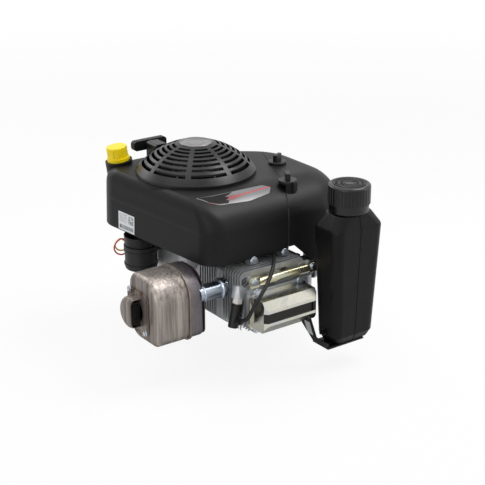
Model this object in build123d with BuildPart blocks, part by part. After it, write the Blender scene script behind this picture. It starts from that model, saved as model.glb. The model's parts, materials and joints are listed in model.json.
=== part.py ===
from build123d import *
import os
from math import asin, cos, degrees, pi, radians, sin, sqrt, tan

# Vertical-shaft, air-cooled, single-cylinder petrol engine with overhead valves.
# Millimetres. The origin is on the crankshaft axis at the mounting face, +Z is up,
# the cylinder points to -Y, the muffler is on the -X side and the air cleaner on the +X side.

# ---------------------------------------------------------------- driving dimensions
bore = 87.3
stroke = 57.15
rod_length = 92.0
crown_height = 34.0
cylinder_z = 68.0
run = 0.04
gap = 0.3

shaft_r = 12.7
shaft_length = 80.0
keyway = 6.35
tap_r = 4.95
tap_depth = 28.0
journal_r = 17.5
lower_journal_r = 16.0
crankpin_r = 17.0
web_r = 47.0
web_thick = 13.7
big_end_thick = 24.0
pin_float = 1.0

bolt_circle = 254.0
mount_hole_r = 4.4
ear_r = 14.0
ear_thick = 12.0

case_x, case_y = 29.0, 5.0
case_width, case_depth, case_corner, chamber_corner = 190.0, 150.0, 40.0, 24.0
case_wall = 8.0
case_top = 126.0
roof_thick = 12.0
sump_height = 22.0
flange_out, flange_thick = 12.0, 8.0
sump_floor = 9.0

barrel_wall = 7.5
fin_thick, fin_pitch = 2.4, 8.0
barrel_fin_w, barrel_fin_h = 108.0, 112.0
deck_clear = 0.6
gasket_thick = 1.2

head_length = 84.0
head_x, head_w, head_h = 18.0, 148.0, 120.0
head_z = 74.0
cover_x, cover_z, cover_w, cover_h = 18.0, 60.0, 132.0, 70.0
cover_depth, cover_sheet = 46.0, 1.6

module_gear, crank_teeth, gear_face = 2.25, 20, 11.0
gear_z = 25.0
cam_r = 10.0

flywheel_z, flywheel_thick, ring_module, ring_teeth = 150.0, 28.0, 2.5, 80
pinion_teeth = 10
taper_low_r, taper_high_r = 15.0, 12.5
fan_height, fan_blades = 30.0, 20
nut_z = 206.0

housing_top, housing_skirt, housing_wall = 262.0, 146.0, 3.0
cover_skirt = 85.0
ring_r, ring_height = 117.0, 6.0
badge_r, dome_top = 33.5, 320.0
dome_wall, dome_ribs, dome_rows = 3.2, 8, 7
slot_width = 5.6

muffler_front, muffler_seam, muffler_back = -213.0, -141.0, -111.0
muffler_near, muffler_far, muffler_low, muffler_high = -185.0, -88.0, 8.0, 136.0
muffler_sheet = 1.5
pipe_r, pipe_y, pipe_z = 16.0, -172.4, 90.0

tank_x, tank_y = 150.0, -283.0
tank_low, tank_shoulder, tank_rise = -27.0, 205.0, 26.0
tank_top_z = tank_shoulder + tank_rise
tank_wall = 3.0
neck_r, neck_height = 24.0, 20.0
fuel_cap_r, fuel_cap_height, fuel_collar_r, fuel_collar_height = 40.0, 52.0, 37.5, 15.0

os.makedirs("parts", exist_ok=True)
pieces = {}


def keep(name, builder):
    """Remember a finished piece under its node name."""
    pieces[name] = builder


def facing(y):
    """The sketch plane at depth y, seen from the cylinder end: local axes are X and Z."""
    return Plane.XZ.offset(-y)


def side(x):
    """The sketch plane at x, seen from +X: local axes are Y and Z."""
    return Plane.YZ.offset(x)


# ---------------------------------------------------------------- places worked out from the sizes
throw = stroke / 2
deck_y = -(throw + rod_length + crown_height + deck_clear)
crown_y = deck_y + deck_clear
pin_y = -(throw + rod_length)
head_y = deck_y - gasket_thick
rocker_y = head_y - head_length
case_front = case_y - case_depth / 2
case_back = case_y + case_depth / 2
case_left = case_x - case_width / 2
cavity_top = case_top - roof_thick
web_low_z = cylinder_z - big_end_thick / 2 - pin_float - gap - web_thick
web_high_z = cylinder_z + big_end_thick / 2 + pin_float + gap
cam_teeth = 2 * crank_teeth
cam_x = module_gear * (crank_teeth + cam_teeth) / 2
ring_pitch_r = ring_module * ring_teeth / 2
pinion_pitch_r = ring_module * pinion_teeth / 2
starter_reach = ring_pitch_r + pinion_pitch_r + 0.25
starter_angle = 155.0
starter_x = starter_reach * cos(radians(starter_angle))
starter_y = starter_reach * sin(radians(starter_angle))


def ring_of(count, radius, start=0.0):
    """Points spaced evenly round the origin."""
    return [
        (radius * cos(radians(start + 360 * i / count)), radius * sin(radians(start + 360 * i / count)))
        for i in range(count)
    ]


def gear_profile(teeth, module, at=(0, 0), turn=0.0, slack=0.26):
    """Sketch one straight-flanked gear outline at a point of the current sketch."""
    pitch_r = module * teeth / 2
    root, tip = pitch_r - 1.25 * module, pitch_r + 0.95 * module
    pitch_half = pi * module / 4 - slack
    root_half = pitch_half + 1.25 * module * tan(radians(20))
    tip_half = pitch_half - 0.95 * module * tan(radians(20))
    with Locations(at):
        Circle(root)
        with PolarLocations(0, teeth, start_angle=turn):
            Polygon(
                (root - 1, -root_half), (root, -root_half), (tip, -tip_half),
                (tip, tip_half), (root, root_half), (root - 1, root_half),
                align=None,
            )


# ================================================================ crankcase and sump
sump_bolt_r = 3.0
sump_bolt_places = [
    (case_x + share * case_width, case_y + sy * (case_depth + flange_out) / 2)
    for share in (-0.3, 0.09) for sy in (-1, 1)
] + [
    (case_x + sx * (case_width + flange_out) / 2, case_y + sy * case_depth * 0.2)
    for sx in (-1, 1) for sy in (-1, 1)
]
gallery_w, gallery_h = 22.0, 58.0
coil_reach, coil_half_span = 127.0, 26.0
coil_pillars = [(-coil_half_span, -coil_reach), (coil_half_span, -coil_reach)]
barrel_r = bore / 2 + barrel_wall
head_bolt_places = [(-44.0, cylinder_z - 46), (44.0, cylinder_z - 46),
                    (-44.0, cylinder_z + 46), (44.0, cylinder_z + 46)]
head_bolt_r, head_deck = 4.0, 10.0

with BuildPart() as crankcase:
    with BuildSketch(Plane.XY.offset(sump_height)):
        with Locations((case_x, case_y)):
            RectangleRounded(case_width, case_depth, case_corner)
    extrude(amount=case_top - sump_height)
    chamfer(crankcase.faces().sort_by(Axis.Z)[-1].outer_wire().edges(), 9)
    with BuildSketch(Plane.XY.offset(sump_height)):
        with Locations((case_x, case_y)):
            RectangleRounded(
                case_width + 2 * flange_out, case_depth + 2 * flange_out, case_corner + flange_out
            )
    extrude(amount=flange_thick)
    # crank bearing boss outside, bored later
    with BuildSketch(Plane.XY.offset(case_top)):
        Circle(journal_r + 14)
    extrude(amount=6)
    # cylinder barrel, its deck and the push-rod gallery beside it
    with BuildSketch(facing(case_front + case_wall)):
        with Locations((0, cylinder_z)):
            Circle(barrel_r)
    extrude(amount=-deck_y + case_front + case_wall)
    with BuildSketch(facing(case_front + 1)):
        with Locations((cam_x, cylinder_z)):
            RectangleRounded(gallery_w, gallery_h, 6)
    extrude(amount=-deck_y + case_front + 1)
    with BuildSketch(facing(deck_y + 9)):
        with Locations((0, cylinder_z)):
            RectangleRounded(barrel_fin_w, barrel_fin_h, 14)
    extrude(amount=9)
    # cooling fins round the barrel
    fin_start = case_front - flange_out - 4
    fin_planes = [facing(y) for y in
                  [fin_start - fin_pitch * i for i in range(int((fin_start - deck_y - 12) / fin_pitch) + 1)]]
    with BuildSketch(*fin_planes):
        with Locations((0, cylinder_z)):
            RectangleRounded(barrel_fin_w, barrel_fin_h, 14)
    extrude(amount=fin_thick)
    # pillars for the ignition coil, on the barrel
    with BuildSketch(Plane.XY.offset(cylinder_z)):
        with Locations(*coil_pillars):
            Circle(6)
    extrude(amount=flywheel_z - cylinder_z)
    # whatever stands over the sump's flange stops at its joint face
    with BuildSketch(Plane.XY.offset(sump_height)):
        with Locations((case_x, case_y)):
            Rectangle(case_width + 80, case_depth + 2 * (flange_out + gap))
    extrude(amount=-sump_height, mode=Mode.SUBTRACT)
    # crank chamber
    with BuildSketch(Plane.XY.offset(sump_height)):
        with Locations((case_x, case_y)):
            RectangleRounded(
                case_width - 2 * case_wall, case_depth - 2 * case_wall, chamber_corner
            )
    extrude(amount=cavity_top - sump_height, mode=Mode.SUBTRACT)
    with BuildSketch(Plane.XY.offset(cavity_top)):
        Circle(journal_r + 8)
    extrude(amount=-(cavity_top - web_high_z - web_thick - 2))
    with BuildSketch(Plane.XY.offset(web_high_z)):
        Circle(journal_r + run)
    extrude(amount=case_top, mode=Mode.SUBTRACT)
    # camshaft's blind bearing in the roof
    with BuildSketch(Plane.XY.offset(cavity_top)):
        with Locations((cam_x, 0)):
            Circle(cam_r + run)
    extrude(amount=roof_thick - 4, mode=Mode.SUBTRACT)
    # the bore
    with BuildSketch(facing(case_front + 2 * case_wall)):
        with Locations((0, cylinder_z)):
            Circle(bore / 2)
    extrude(amount=-deck_y + case_front + 2 * case_wall + 1, mode=Mode.SUBTRACT)
    # tapped holes for the sump's bolts
    with BuildSketch(Plane.XY.offset(sump_height)):
        with Locations(*sump_bolt_places):
            Circle(sump_bolt_r + run)
    extrude(amount=flange_thick, mode=Mode.SUBTRACT)
    # tapped holes for the head bolts
    with BuildSketch(facing(deck_y)):
        with Locations(*head_bolt_places):
            Circle(head_bolt_r + run)
    extrude(amount=-9, mode=Mode.SUBTRACT)
keep("crankcase", crankcase)

with BuildPart() as sump_cover:
    with BuildSketch():
        with Locations((case_x, case_y)):
            RectangleRounded(case_width - 6, case_depth - 6, case_corner - 3)
        with PolarLocations(bolt_circle / 4, 4, start_angle=45):
            Rectangle(bolt_circle / 2, 2 * ear_r)
        with PolarLocations(bolt_circle / 2, 4, start_angle=45):
            Circle(ear_r)
    extrude(amount=ear_thick)
    with BuildSketch(Plane.XY.offset(ear_thick)):
        with Locations((case_x, case_y)):
            RectangleRounded(case_width, case_depth, case_corner)
    extrude(amount=sump_height - ear_thick - flange_thick)
    with BuildSketch(Plane.XY.offset(sump_height - flange_thick)):
        with Locations((case_x, case_y)):
            RectangleRounded(
                case_width + 2 * flange_out, case_depth + 2 * flange_out, case_corner + flange_out
            )
    extrude(amount=flange_thick)
    with BuildSketch(Plane.XY.offset(sump_height)):
        with Locations((case_x, case_y)):
            RectangleRounded(
                case_width - 2 * case_wall, case_depth - 2 * case_wall, chamber_corner
            )
    extrude(amount=-(sump_height - sump_floor), mode=Mode.SUBTRACT)
    # bearing bosses for crankshaft and camshaft
    with BuildSketch(Plane.XY.offset(sump_floor)):
        Circle(lower_journal_r + 9)
    extrude(amount=gear_z - 1 - sump_floor)
    with BuildSketch(Plane.XY.offset(sump_floor)):
        with Locations((cam_x, 0)):
            Circle(cam_r + 7)
    extrude(amount=gear_z - 1 - sump_floor)
    with BuildSketch(Plane.XY.offset(sump_floor - 5)):
        with Locations((cam_x, 0)):
            Circle(cam_r + run)
    extrude(amount=gear_z, mode=Mode.SUBTRACT)
    with BuildSketch():
        Circle(lower_journal_r + run)
    extrude(amount=gear_z, mode=Mode.SUBTRACT)
    # seat for the oil seal
    with BuildSketch():
        Circle(lower_journal_r + 6)
    extrude(amount=7, mode=Mode.SUBTRACT)
    with BuildSketch():
        with PolarLocations(bolt_circle / 2, 4, start_angle=45):
            Circle(mount_hole_r)
    extrude(amount=ear_thick, mode=Mode.SUBTRACT)
    with BuildSketch(Plane.XY.offset(sump_height)):
        with Locations(*sump_bolt_places):
            Circle(sump_bolt_r + run)
    extrude(amount=-flange_thick, mode=Mode.SUBTRACT)
keep("sump_cover", sump_cover)

with BuildPart() as sump_bolts:
    with BuildSketch(Plane.XY.offset(sump_height - flange_thick)):
        with Locations(*sump_bolt_places):
            RegularPolygon(5.4, 6)
    extrude(amount=-5)
    with BuildSketch(Plane.XY.offset(sump_height - flange_thick)):
        with Locations(*sump_bolt_places):
            Circle(sump_bolt_r)
    extrude(amount=2 * flange_thick)
keep("sump_bolts", sump_bolts)

with BuildPart() as oil_seals:
    with BuildSketch():
        Circle(lower_journal_r + 6)
        Circle(lower_journal_r + run, mode=Mode.SUBTRACT)
    extrude(amount=6.8)
    with BuildSketch(Plane.XY.offset(case_top + 6)):
        Circle(journal_r + 10)
        Circle(journal_r + run, mode=Mode.SUBTRACT)
    extrude(amount=5)
keep("oil_seals", oil_seals)

# ================================================================ crank train

def crank_web_outline():
    """Sketch one crank web: a half-round counterweight and the cheek that carries the pin."""
    Circle(web_r)
    with Locations((0, -web_r)):
        Rectangle(2 * web_r, 2 * web_r - 8, mode=Mode.SUBTRACT)
    Circle(journal_r + 9)
    with Locations((0, -throw / 2)):
        Rectangle(2 * crankpin_r, throw)
    with Locations((0, -throw)):
        Circle(crankpin_r)


with BuildPart() as crankshaft_lower:
    with BuildSketch(Plane.XY.offset(web_low_z)):
        crank_web_outline()
    extrude(amount=web_thick)
    with BuildSketch(Plane.XY.offset(gear_z - 1)):
        Circle(lower_journal_r + 3)
    extrude(amount=web_low_z - gear_z + 1)
    with BuildSketch():
        Circle(lower_journal_r)
    extrude(amount=web_low_z)
    with BuildSketch(Plane.XY.offset(-shaft_length)):
        Circle(shaft_r)
    extrude(amount=shaft_length)
    chamfer(crankshaft_lower.faces().sort_by(Axis.Z)[0].edges(), 1.2)
    with BuildSketch(Plane.XY.offset(-shaft_length)):
        Circle(tap_r)
    extrude(amount=tap_depth, mode=Mode.SUBTRACT)
    with BuildSketch(Plane.XY.offset(-shaft_length)):
        with Locations((0, -shaft_r)):
            Rectangle(keyway, keyway)
    extrude(amount=shaft_length * 0.7, mode=Mode.SUBTRACT)
    # seat of the timing gear, keyed on the shoulder under the web
    with BuildSketch(Plane.XY.offset(gear_z)):
        Circle(lower_journal_r + 20)
        Circle(lower_journal_r + 1, mode=Mode.SUBTRACT)
    extrude(amount=gear_face + gap, mode=Mode.SUBTRACT)

with BuildPart() as crankshaft:
    add(crankshaft_lower.part)
    with BuildSketch(Plane.XY.offset(web_high_z)):
        crank_web_outline()
    extrude(amount=web_thick)
    with BuildSketch(Plane.XY.offset(web_high_z + web_thick)):
        Circle(journal_r)
    extrude(amount=flywheel_z - 6 - web_high_z - web_thick)
    with BuildSketch(Plane.XZ):
        Polygon(
            (0, flywheel_z - 6), (taper_low_r, flywheel_z - 6), (taper_low_r, flywheel_z),
            (taper_high_r, flywheel_z + flywheel_thick), (8, flywheel_z + flywheel_thick),
            (8, nut_z + 16), (0, nut_z + 16), align=None,
        )
    revolve(axis=Axis.Z)
keep("crankshaft", crankshaft)

with BuildPart() as crank_gear:
    with BuildSketch(Plane.XY.offset(gear_z)):
        gear_profile(crank_teeth, module_gear)
        Circle(lower_journal_r + 1 + run, mode=Mode.SUBTRACT)
    extrude(amount=gear_face)
keep("crank_gear", crank_gear)

# A tooth space of the cam gear faces the tooth that the crank gear holds on +X.
cam_turn = 180.0 + 180.0 / cam_teeth
lobe_zs = (cylinder_z - 18, cylinder_z + 16)
lobe_nose, lobe_base, lobe_thick = 15.5, 13.0, 12.0

with BuildPart() as camshaft:
    with BuildSketch(Plane.XY.offset(gear_z)):
        gear_profile(cam_teeth, module_gear, at=(cam_x, 0), turn=cam_turn)
        with Locations((cam_x, 0)):
            with PolarLocations(28, 5):
                Circle(8, mode=Mode.SUBTRACT)
    extrude(amount=gear_face)
    with BuildSketch(Plane.XY.offset(sump_floor - 4.6)):
        with Locations((cam_x, 0)):
            Circle(cam_r)
    extrude(amount=cavity_top + roof_thick - 5 - sump_floor + 4.6)
    for z, lean in zip(lobe_zs, (100, 205)):
        with BuildSketch(Plane.XY.offset(z - lobe_thick / 2)):
            with Locations((cam_x, 0)):
                Circle(lobe_base)
                with PolarLocations(lobe_nose - 8, 1, start_angle=lean):
                    Circle(8)
        extrude(amount=lobe_thick)
keep("camshaft", camshaft)

small_end_r, rod_pin_r, rod_width = 15.0, 10.0, 15.0
big_end_r = crankpin_r + 6.5

with BuildPart() as connecting_rod:
    with BuildSketch(Plane.XY.offset(cylinder_z - big_end_thick / 2 + 3)):
        with Locations((0, pin_y)):
            Circle(small_end_r)
        with BuildLine():
            Polyline(
                (-rod_width / 2, pin_y), (rod_width / 2, pin_y), (rod_width / 2 + 5, -throw),
                (-rod_width / 2 - 5, -throw), close=True,
            )
        make_face()
    extrude(amount=big_end_thick - 6)
    with BuildSketch(Plane.XY.offset(cylinder_z - big_end_thick / 2)):
        with Locations((0, -throw)):
            Circle(big_end_r)
            with Locations((0, -6)):
                Rectangle(2 * big_end_r + 6, 12)
    extrude(amount=big_end_thick)
    # the flutes that make the shank an I-beam
    with BuildSketch(Plane.XY.offset(cylinder_z - big_end_thick / 2 + 3),
                     Plane.XY.offset(cylinder_z + big_end_thick / 2 - 3 - 4.5)):
        with BuildLine():
            Polyline(
                (-3.5, pin_y + small_end_r + 3), (3.5, pin_y + small_end_r + 3),
                (6, -throw - big_end_r - 4), (-6, -throw - big_end_r - 4), close=True,
            )
        make_face()
    extrude(amount=4.5, mode=Mode.SUBTRACT)
    with BuildSketch(Plane.XY.offset(cylinder_z - big_end_thick)):
        with Locations((0, pin_y)):
            Circle(rod_pin_r + run)
        with Locations((0, -throw)):
            Circle(crankpin_r + run)
            with Locations((0, big_end_r)):
                Rectangle(3 * big_end_r, 2 * big_end_r)
    extrude(amount=2 * big_end_thick, mode=Mode.SUBTRACT)
keep("connecting_rod", connecting_rod)

with BuildPart() as rod_cap:
    with BuildSketch(Plane.XY.offset(cylinder_z - big_end_thick / 2)):
        with Locations((0, -throw)):
            Circle(big_end_r)
            with Locations((0, 5)):
                Rectangle(2 * big_end_r + 6, 10)
    extrude(amount=big_end_thick)
    with BuildSketch(Plane.XY.offset(cylinder_z - big_end_thick)):
        with Locations((0, -throw)):
            Circle(crankpin_r + run)
            with Locations((0, -big_end_r)):
                Rectangle(3 * big_end_r, 2 * big_end_r)
    extrude(amount=2 * big_end_thick, mode=Mode.SUBTRACT)
    # heads of the two cap bolts
    with BuildSketch(Plane.XZ.offset(throw - 10)):
        with Locations((1.5 - big_end_r, cylinder_z), (big_end_r - 1.5, cylinder_z)):
            RegularPolygon(3.8, 6)
    extrude(amount=-4)
keep("rod_cap", rod_cap)

with BuildPart() as crankpin:
    with BuildSketch(Plane.XY.offset(cylinder_z - big_end_thick / 2 - pin_float)):
        with Locations((0, -throw)):
            Circle(crankpin_r)
            Circle(4, mode=Mode.SUBTRACT)
    extrude(amount=big_end_thick + 2 * pin_float)
keep("crankpin", crankpin)

piston_r = bore / 2 - 0.05
skirt_y = pin_y + 18
ring_grooves = [crown_y + 6, crown_y + 12, crown_y + 18]

with BuildPart() as piston:
    with BuildSketch(facing(skirt_y)):
        with Locations((0, cylinder_z)):
            Circle(piston_r)
    extrude(amount=skirt_y - crown_y)
    with BuildSketch(*[facing(y + 2) for y in ring_grooves]):
        with Locations((0, cylinder_z)):
            Circle(piston_r + 1)
            Circle(piston_r - 3.2, mode=Mode.SUBTRACT)
    extrude(amount=2, mode=Mode.SUBTRACT)
    with BuildSketch(facing(skirt_y)):
        with Locations((0, cylinder_z)):
            Circle(piston_r - 5)
    extrude(amount=skirt_y - crown_y - 8, mode=Mode.SUBTRACT)
    # pin bosses inside the skirt
    with BuildSketch(Plane.XY.offset(cylinder_z - piston_r + 6), Plane.XY.offset(cylinder_z + 14)):
        with Locations((0, pin_y)):
            Circle(rod_pin_r + 6)
    extrude(amount=piston_r - 20)
    with BuildSketch(Plane.XY.offset(cylinder_z - piston_r - 1)):
        with Locations((0, pin_y)):
            Circle(rod_pin_r + run)
    extrude(amount=2 * piston_r + 2, mode=Mode.SUBTRACT)
    # the rod swings in the skirt's open sides
    with BuildSketch(Plane.XY.offset(cylinder_z - 14)):
        with Locations((0, pin_y + 9)):
            Rectangle(2 * piston_r - 12, 2 * 9 + 30)
    extrude(amount=28, mode=Mode.SUBTRACT)
keep("piston", piston)

with BuildPart() as piston_rings:
    with BuildSketch(*[facing(y + 1.9) for y in ring_grooves]):
        with Locations((0, cylinder_z)):
            Circle(piston_r + 0.02)
            Circle(piston_r - 3, mode=Mode.SUBTRACT)
    extrude(amount=1.8)
keep("piston_rings", piston_rings)

with BuildPart() as piston_pin:
    with BuildSketch(Plane.XY.offset(cylinder_z - piston_r + 7)):
        with Locations((0, pin_y)):
            Circle(rod_pin_r)
            Circle(rod_pin_r - 4, mode=Mode.SUBTRACT)
    extrude(amount=2 * piston_r - 14)
keep("piston_pin", piston_pin)

# ================================================================ cylinder head
cover_screw_places = [(cover_x + sx * (cover_w / 2 - 16), cover_z + sz * (cover_h / 2 + 3))
                      for sx in (-1, 1) for sz in (-1, 1)]
cover_screw_r = 3.0
chamber_depth = 9.0
port_r = pipe_r - 1.0
port_end = head_x - head_w / 2 - 1
intake_y, intake_z, intake_r = head_y - 22.0, 90.0, 14.0
intake_end = head_x + head_w / 2 + 4
plug_at_v = Vector(head_x - head_w / 2 + 3, head_y - 56, 80.0)
plug_way = Vector(-0.30, -0.12, -0.94).normalized()
plug_plane = Plane(origin=plug_at_v, z_dir=plug_way)
plug_thread_r = 7.0
head_fins = 7
last_fin_y = head_y - head_deck - fin_pitch * head_fins - fin_thick
# the control rail's two screws and the tank bracket's two, all into bosses of the head
rail_y, rail_z, rail_r = rocker_y + 2.0, cover_z + cover_h / 2 + 20, 8.0
rail_x0, rail_x1, rail_sheet = -26.0, 92.0, 2.5
rail_screw_places = [(rail_x0 - 10, rail_z + 3), (rail_x1 + 8, rail_z + 3)]
strap_x, sheet = 90.0, 3.0
strap_z = 20.0
strap_screw_places = [(strap_x - 20, strap_z), (strap_x - 7, strap_z)]
housing_screw_places = [(-9.0, housing_skirt - 5), (64.0, housing_skirt - 5)]
housing_face_y = -200.0


def cover_ears():
    """Sketch the valve cover's joint face with its four screw ears."""
    with Locations((cover_x, cover_z)):
        RectangleRounded(cover_w, cover_h, 9)
    with Locations(*cover_screw_places):
        Circle(7)


with BuildPart() as head_gasket:
    with BuildSketch(facing(deck_y)):
        with Locations((0, cylinder_z)):
            RectangleRounded(barrel_fin_w, barrel_fin_h, 14)
        with Locations((cam_x, cylinder_z)):
            RectangleRounded(gallery_w, gallery_h, 6)
            RectangleRounded(gallery_w - 8, gallery_h - 12, 3, mode=Mode.SUBTRACT)
        with Locations((0, cylinder_z)):
            Circle(bore / 2 + 0.8, mode=Mode.SUBTRACT)
        with Locations(*head_bolt_places):
            Circle(head_bolt_r + run, mode=Mode.SUBTRACT)
    extrude(amount=gasket_thick)
keep("head_gasket", head_gasket)

with BuildPart() as cylinder_head:
    # deck plate and solid core
    with BuildSketch(facing(head_y)):
        with Locations((0, cylinder_z)):
            RectangleRounded(barrel_fin_w, barrel_fin_h, 14)
        with Locations((cam_x, cylinder_z)):
            RectangleRounded(gallery_w, gallery_h, 6)
    extrude(amount=head_deck)
    with BuildSketch(facing(head_y)):
        with Locations((head_x, cover_z + 4)):
            RectangleRounded(cover_w - 14, cover_h + 2, 10)
    extrude(amount=head_length)
    # cooling fins, open round the head bolts
    with BuildSketch(*[facing(head_y - head_deck - fin_pitch * (i + 1)) for i in range(head_fins)]):
        with Locations((head_x, head_z)):
            RectangleRounded(head_w, head_h, 12)
    extrude(amount=fin_thick)
    with BuildSketch(facing(head_y - head_deck)):
        with Locations(*head_bolt_places):
            Circle(10)
    extrude(amount=head_length, mode=Mode.SUBTRACT)
    with BuildSketch(facing(rocker_y + 8)):
        cover_ears()
    extrude(amount=8)
    # the hollow for rockers and the push-rod tunnel behind it
    with BuildSketch(facing(rocker_y)):
        with Locations((cover_x, cover_z)):
            RectangleRounded(cover_w - 24, cover_h - 22, 6)
    extrude(amount=-26, mode=Mode.SUBTRACT)
    with BuildSketch(facing(head_y)):
        with Locations((cam_x, cylinder_z)):
            RectangleRounded(gallery_w - 8, gallery_h - 20, 3)
    extrude(amount=head_length - 20, mode=Mode.SUBTRACT)
    # combustion chamber
    with BuildSketch(facing(head_y)):
        with Locations((0, cylinder_z)):
            Circle(bore / 2 - 4)
    extrude(amount=chamber_depth, taper=20, mode=Mode.SUBTRACT)
    # exhaust and intake ports
    with BuildSketch(side(head_x - cover_w / 2 + 14)):
        with Locations((pipe_y, pipe_z)):
            Circle(port_r)
    extrude(amount=port_end - head_x + cover_w / 2 - 14)
    with BuildSketch(side(head_x)):
        with Locations((intake_y, intake_z)):
            Circle(intake_r + 4)
    extrude(amount=intake_end - head_x)
    with BuildSketch(side(port_end - 1)):
        with Locations((pipe_y, pipe_z)):
            Circle(port_r - 3.5)
    extrude(amount=head_x - port_end - 20, mode=Mode.SUBTRACT)
    with BuildSketch(side(intake_end + 1)):
        with Locations((intake_y, intake_z)):
            Circle(intake_r)
    extrude(amount=-(intake_end - head_x - 20), mode=Mode.SUBTRACT)
    # bosses for the rail, the tank bracket and the blower housing
    with BuildSketch(facing(rail_y - 5 + rail_sheet)):
        with Locations(rail_screw_places[0]):
            Circle(6)
        with Locations(rail_screw_places[1]):
            Circle(6)
    extrude(amount=last_fin_y - rail_y + 4, dir=(0, 1, 0))
    with BuildSketch(facing(last_fin_y - fin_thick)):
        with Locations((rail_x1, rail_screw_places[1][1])):
            RectangleRounded(28, 12, 4)
    extrude(amount=-2 * fin_thick)
    with BuildSketch(facing(last_fin_y)):
        with Locations((strap_x - 13, strap_z)):
            RectangleRounded(28, 12, 4)
    extrude(amount=-2 * fin_pitch)
    with BuildSketch(facing(housing_face_y + gap)):
        for x, z in housing_screw_places:
            with Locations((x, z - 4)):
                Rectangle(12, 17)
    extrude(amount=-2 * fin_pitch)
    # plug boss, squared off at the plug's seat
    with BuildSketch(plug_plane):
        Circle(plug_thread_r + 6)
    extrude(amount=-24)
    with BuildSketch(plug_plane):
        Circle(plug_thread_r + 6.5)
    extrude(amount=90, mode=Mode.SUBTRACT)
    with BuildSketch(plug_plane):
        Circle(plug_thread_r + run)
    extrude(amount=-19, mode=Mode.SUBTRACT)
    with BuildSketch(facing(head_y)):
        with Locations(*head_bolt_places):
            Circle(head_bolt_r + run)
    extrude(amount=head_deck, mode=Mode.SUBTRACT)
    with BuildSketch(facing(rocker_y)):
        with Locations(*cover_screw_places):
            Circle(cover_screw_r + run)
    extrude(amount=-8, mode=Mode.SUBTRACT)
    # tapped holes of the bosses
    for y, places in ((rail_y - 5 + rail_sheet, rail_screw_places), (last_fin_y, strap_screw_places),
                      (housing_face_y + gap, housing_screw_places)):
        with BuildSketch(facing(y)):
            with Locations(*places):
                Circle(cover_screw_r + run)
        extrude(amount=-10, mode=Mode.SUBTRACT)
keep("cylinder_head", cylinder_head)

with BuildPart() as head_bolts:
    with BuildSketch(facing(head_y - head_deck)):
        with Locations(*head_bolt_places):
            RegularPolygon(7.5, 6)
    extrude(amount=6)
    with BuildSketch(facing(head_y - head_deck)):
        with Locations(*head_bolt_places):
            Circle(head_bolt_r)
    extrude(amount=-(head_deck + gasket_thick + 8.5))
keep("head_bolts", head_bolts)

half_h = cover_h / 2 - 4
with BuildPart() as valve_cover:
    with BuildSketch(side(cover_x)):
        with Locations((rocker_y, cover_z)):
            Polygon(
                (0, -half_h), (0, half_h), (11 - cover_depth, half_h), (-cover_depth, half_h - 16),
                (-cover_depth, 16 - half_h), (11 - cover_depth, -half_h), align=None,
            )
    extrude(amount=cover_w / 2 - 5, both=True)
    chamfer(valve_cover.faces().sort_by(Axis.Y)[0].edges().filter_by(Axis.Z), 6)
    # the sunk band across the face
    with BuildSketch(facing(rocker_y - cover_depth)):
        with Locations((cover_x, cover_z)):
            RectangleRounded(cover_w - 34, 19, 3)
    extrude(amount=-2.4, mode=Mode.SUBTRACT)
    offset(amount=-cover_sheet, openings=valve_cover.faces().sort_by(Axis.Y)[-1])
    with BuildSketch(facing(rocker_y)):
        cover_ears()
        with Locations((cover_x, cover_z)):
            RectangleRounded(cover_w - 10 - 2 * cover_sheet, cover_h - 8 - 2 * cover_sheet, 5,
                             mode=Mode.SUBTRACT)
        with Locations(*cover_screw_places):
            Circle(cover_screw_r + run, mode=Mode.SUBTRACT)
    extrude(amount=2.5)
keep("valve_cover", valve_cover)

with BuildPart() as spark_plug:
    with BuildSketch(plug_plane):
        Circle(plug_thread_r)
    extrude(amount=-18)
    with BuildSketch(plug_plane):
        RegularPolygon(9.3, 6)
    extrude(amount=9)
    with BuildSketch(plug_plane.offset(9)):
        Circle(5.4)
    extrude(amount=24)
    with BuildSketch(plug_plane.offset(33)):
        Circle(3)
    extrude(amount=6)
keep("spark_plug", spark_plug)

boot_end = 56.0
boot_foot = plug_at_v + plug_way * (boot_end - 9)
lead_turn = Vector(-59, -252, 53)
nipple_way = (lead_turn - boot_foot).normalized()
nipple_plane = Plane(origin=boot_foot, z_dir=nipple_way)
lead_r = 3.6
with BuildPart() as plug_boot:
    with BuildSketch(plug_plane.offset(11)):
        Circle(9.5)
    extrude(amount=boot_end - 11)
    fillet(plug_boot.edges(), 3)
    with BuildSketch(nipple_plane):
        Circle(6.5)
    extrude(amount=19)
    with BuildSketch(nipple_plane.offset(12)):
        Circle(lead_r + 0.1)
    extrude(amount=10, mode=Mode.SUBTRACT)
    with BuildSketch(plug_plane.offset(10)):
        Circle(5.4 + 0.2)
    extrude(amount=23.5, mode=Mode.SUBTRACT)
    with BuildSketch(plug_plane.offset(33)):
        Circle(3.2)
    extrude(amount=6.5, mode=Mode.SUBTRACT)
keep("plug_boot", plug_boot)

# ================================================================ exhaust
outlet_y, outlet_z, outlet_r = -118.0, 64.0, 31.0
outlet_screw_places = [(outlet_y + 24, outlet_z + 36), (outlet_y + 24, outlet_z - 36),
                       (outlet_y - 28, outlet_z - 36)]
outlet_screw_r = 2.0
muffler_corners = [(muffler_near, muffler_low), (muffler_far, muffler_low),
                   (muffler_far, muffler_high), (muffler_near, muffler_high)]
muffler_radii = [16, 34, 26, 50]
seam_lip = 3.0

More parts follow.
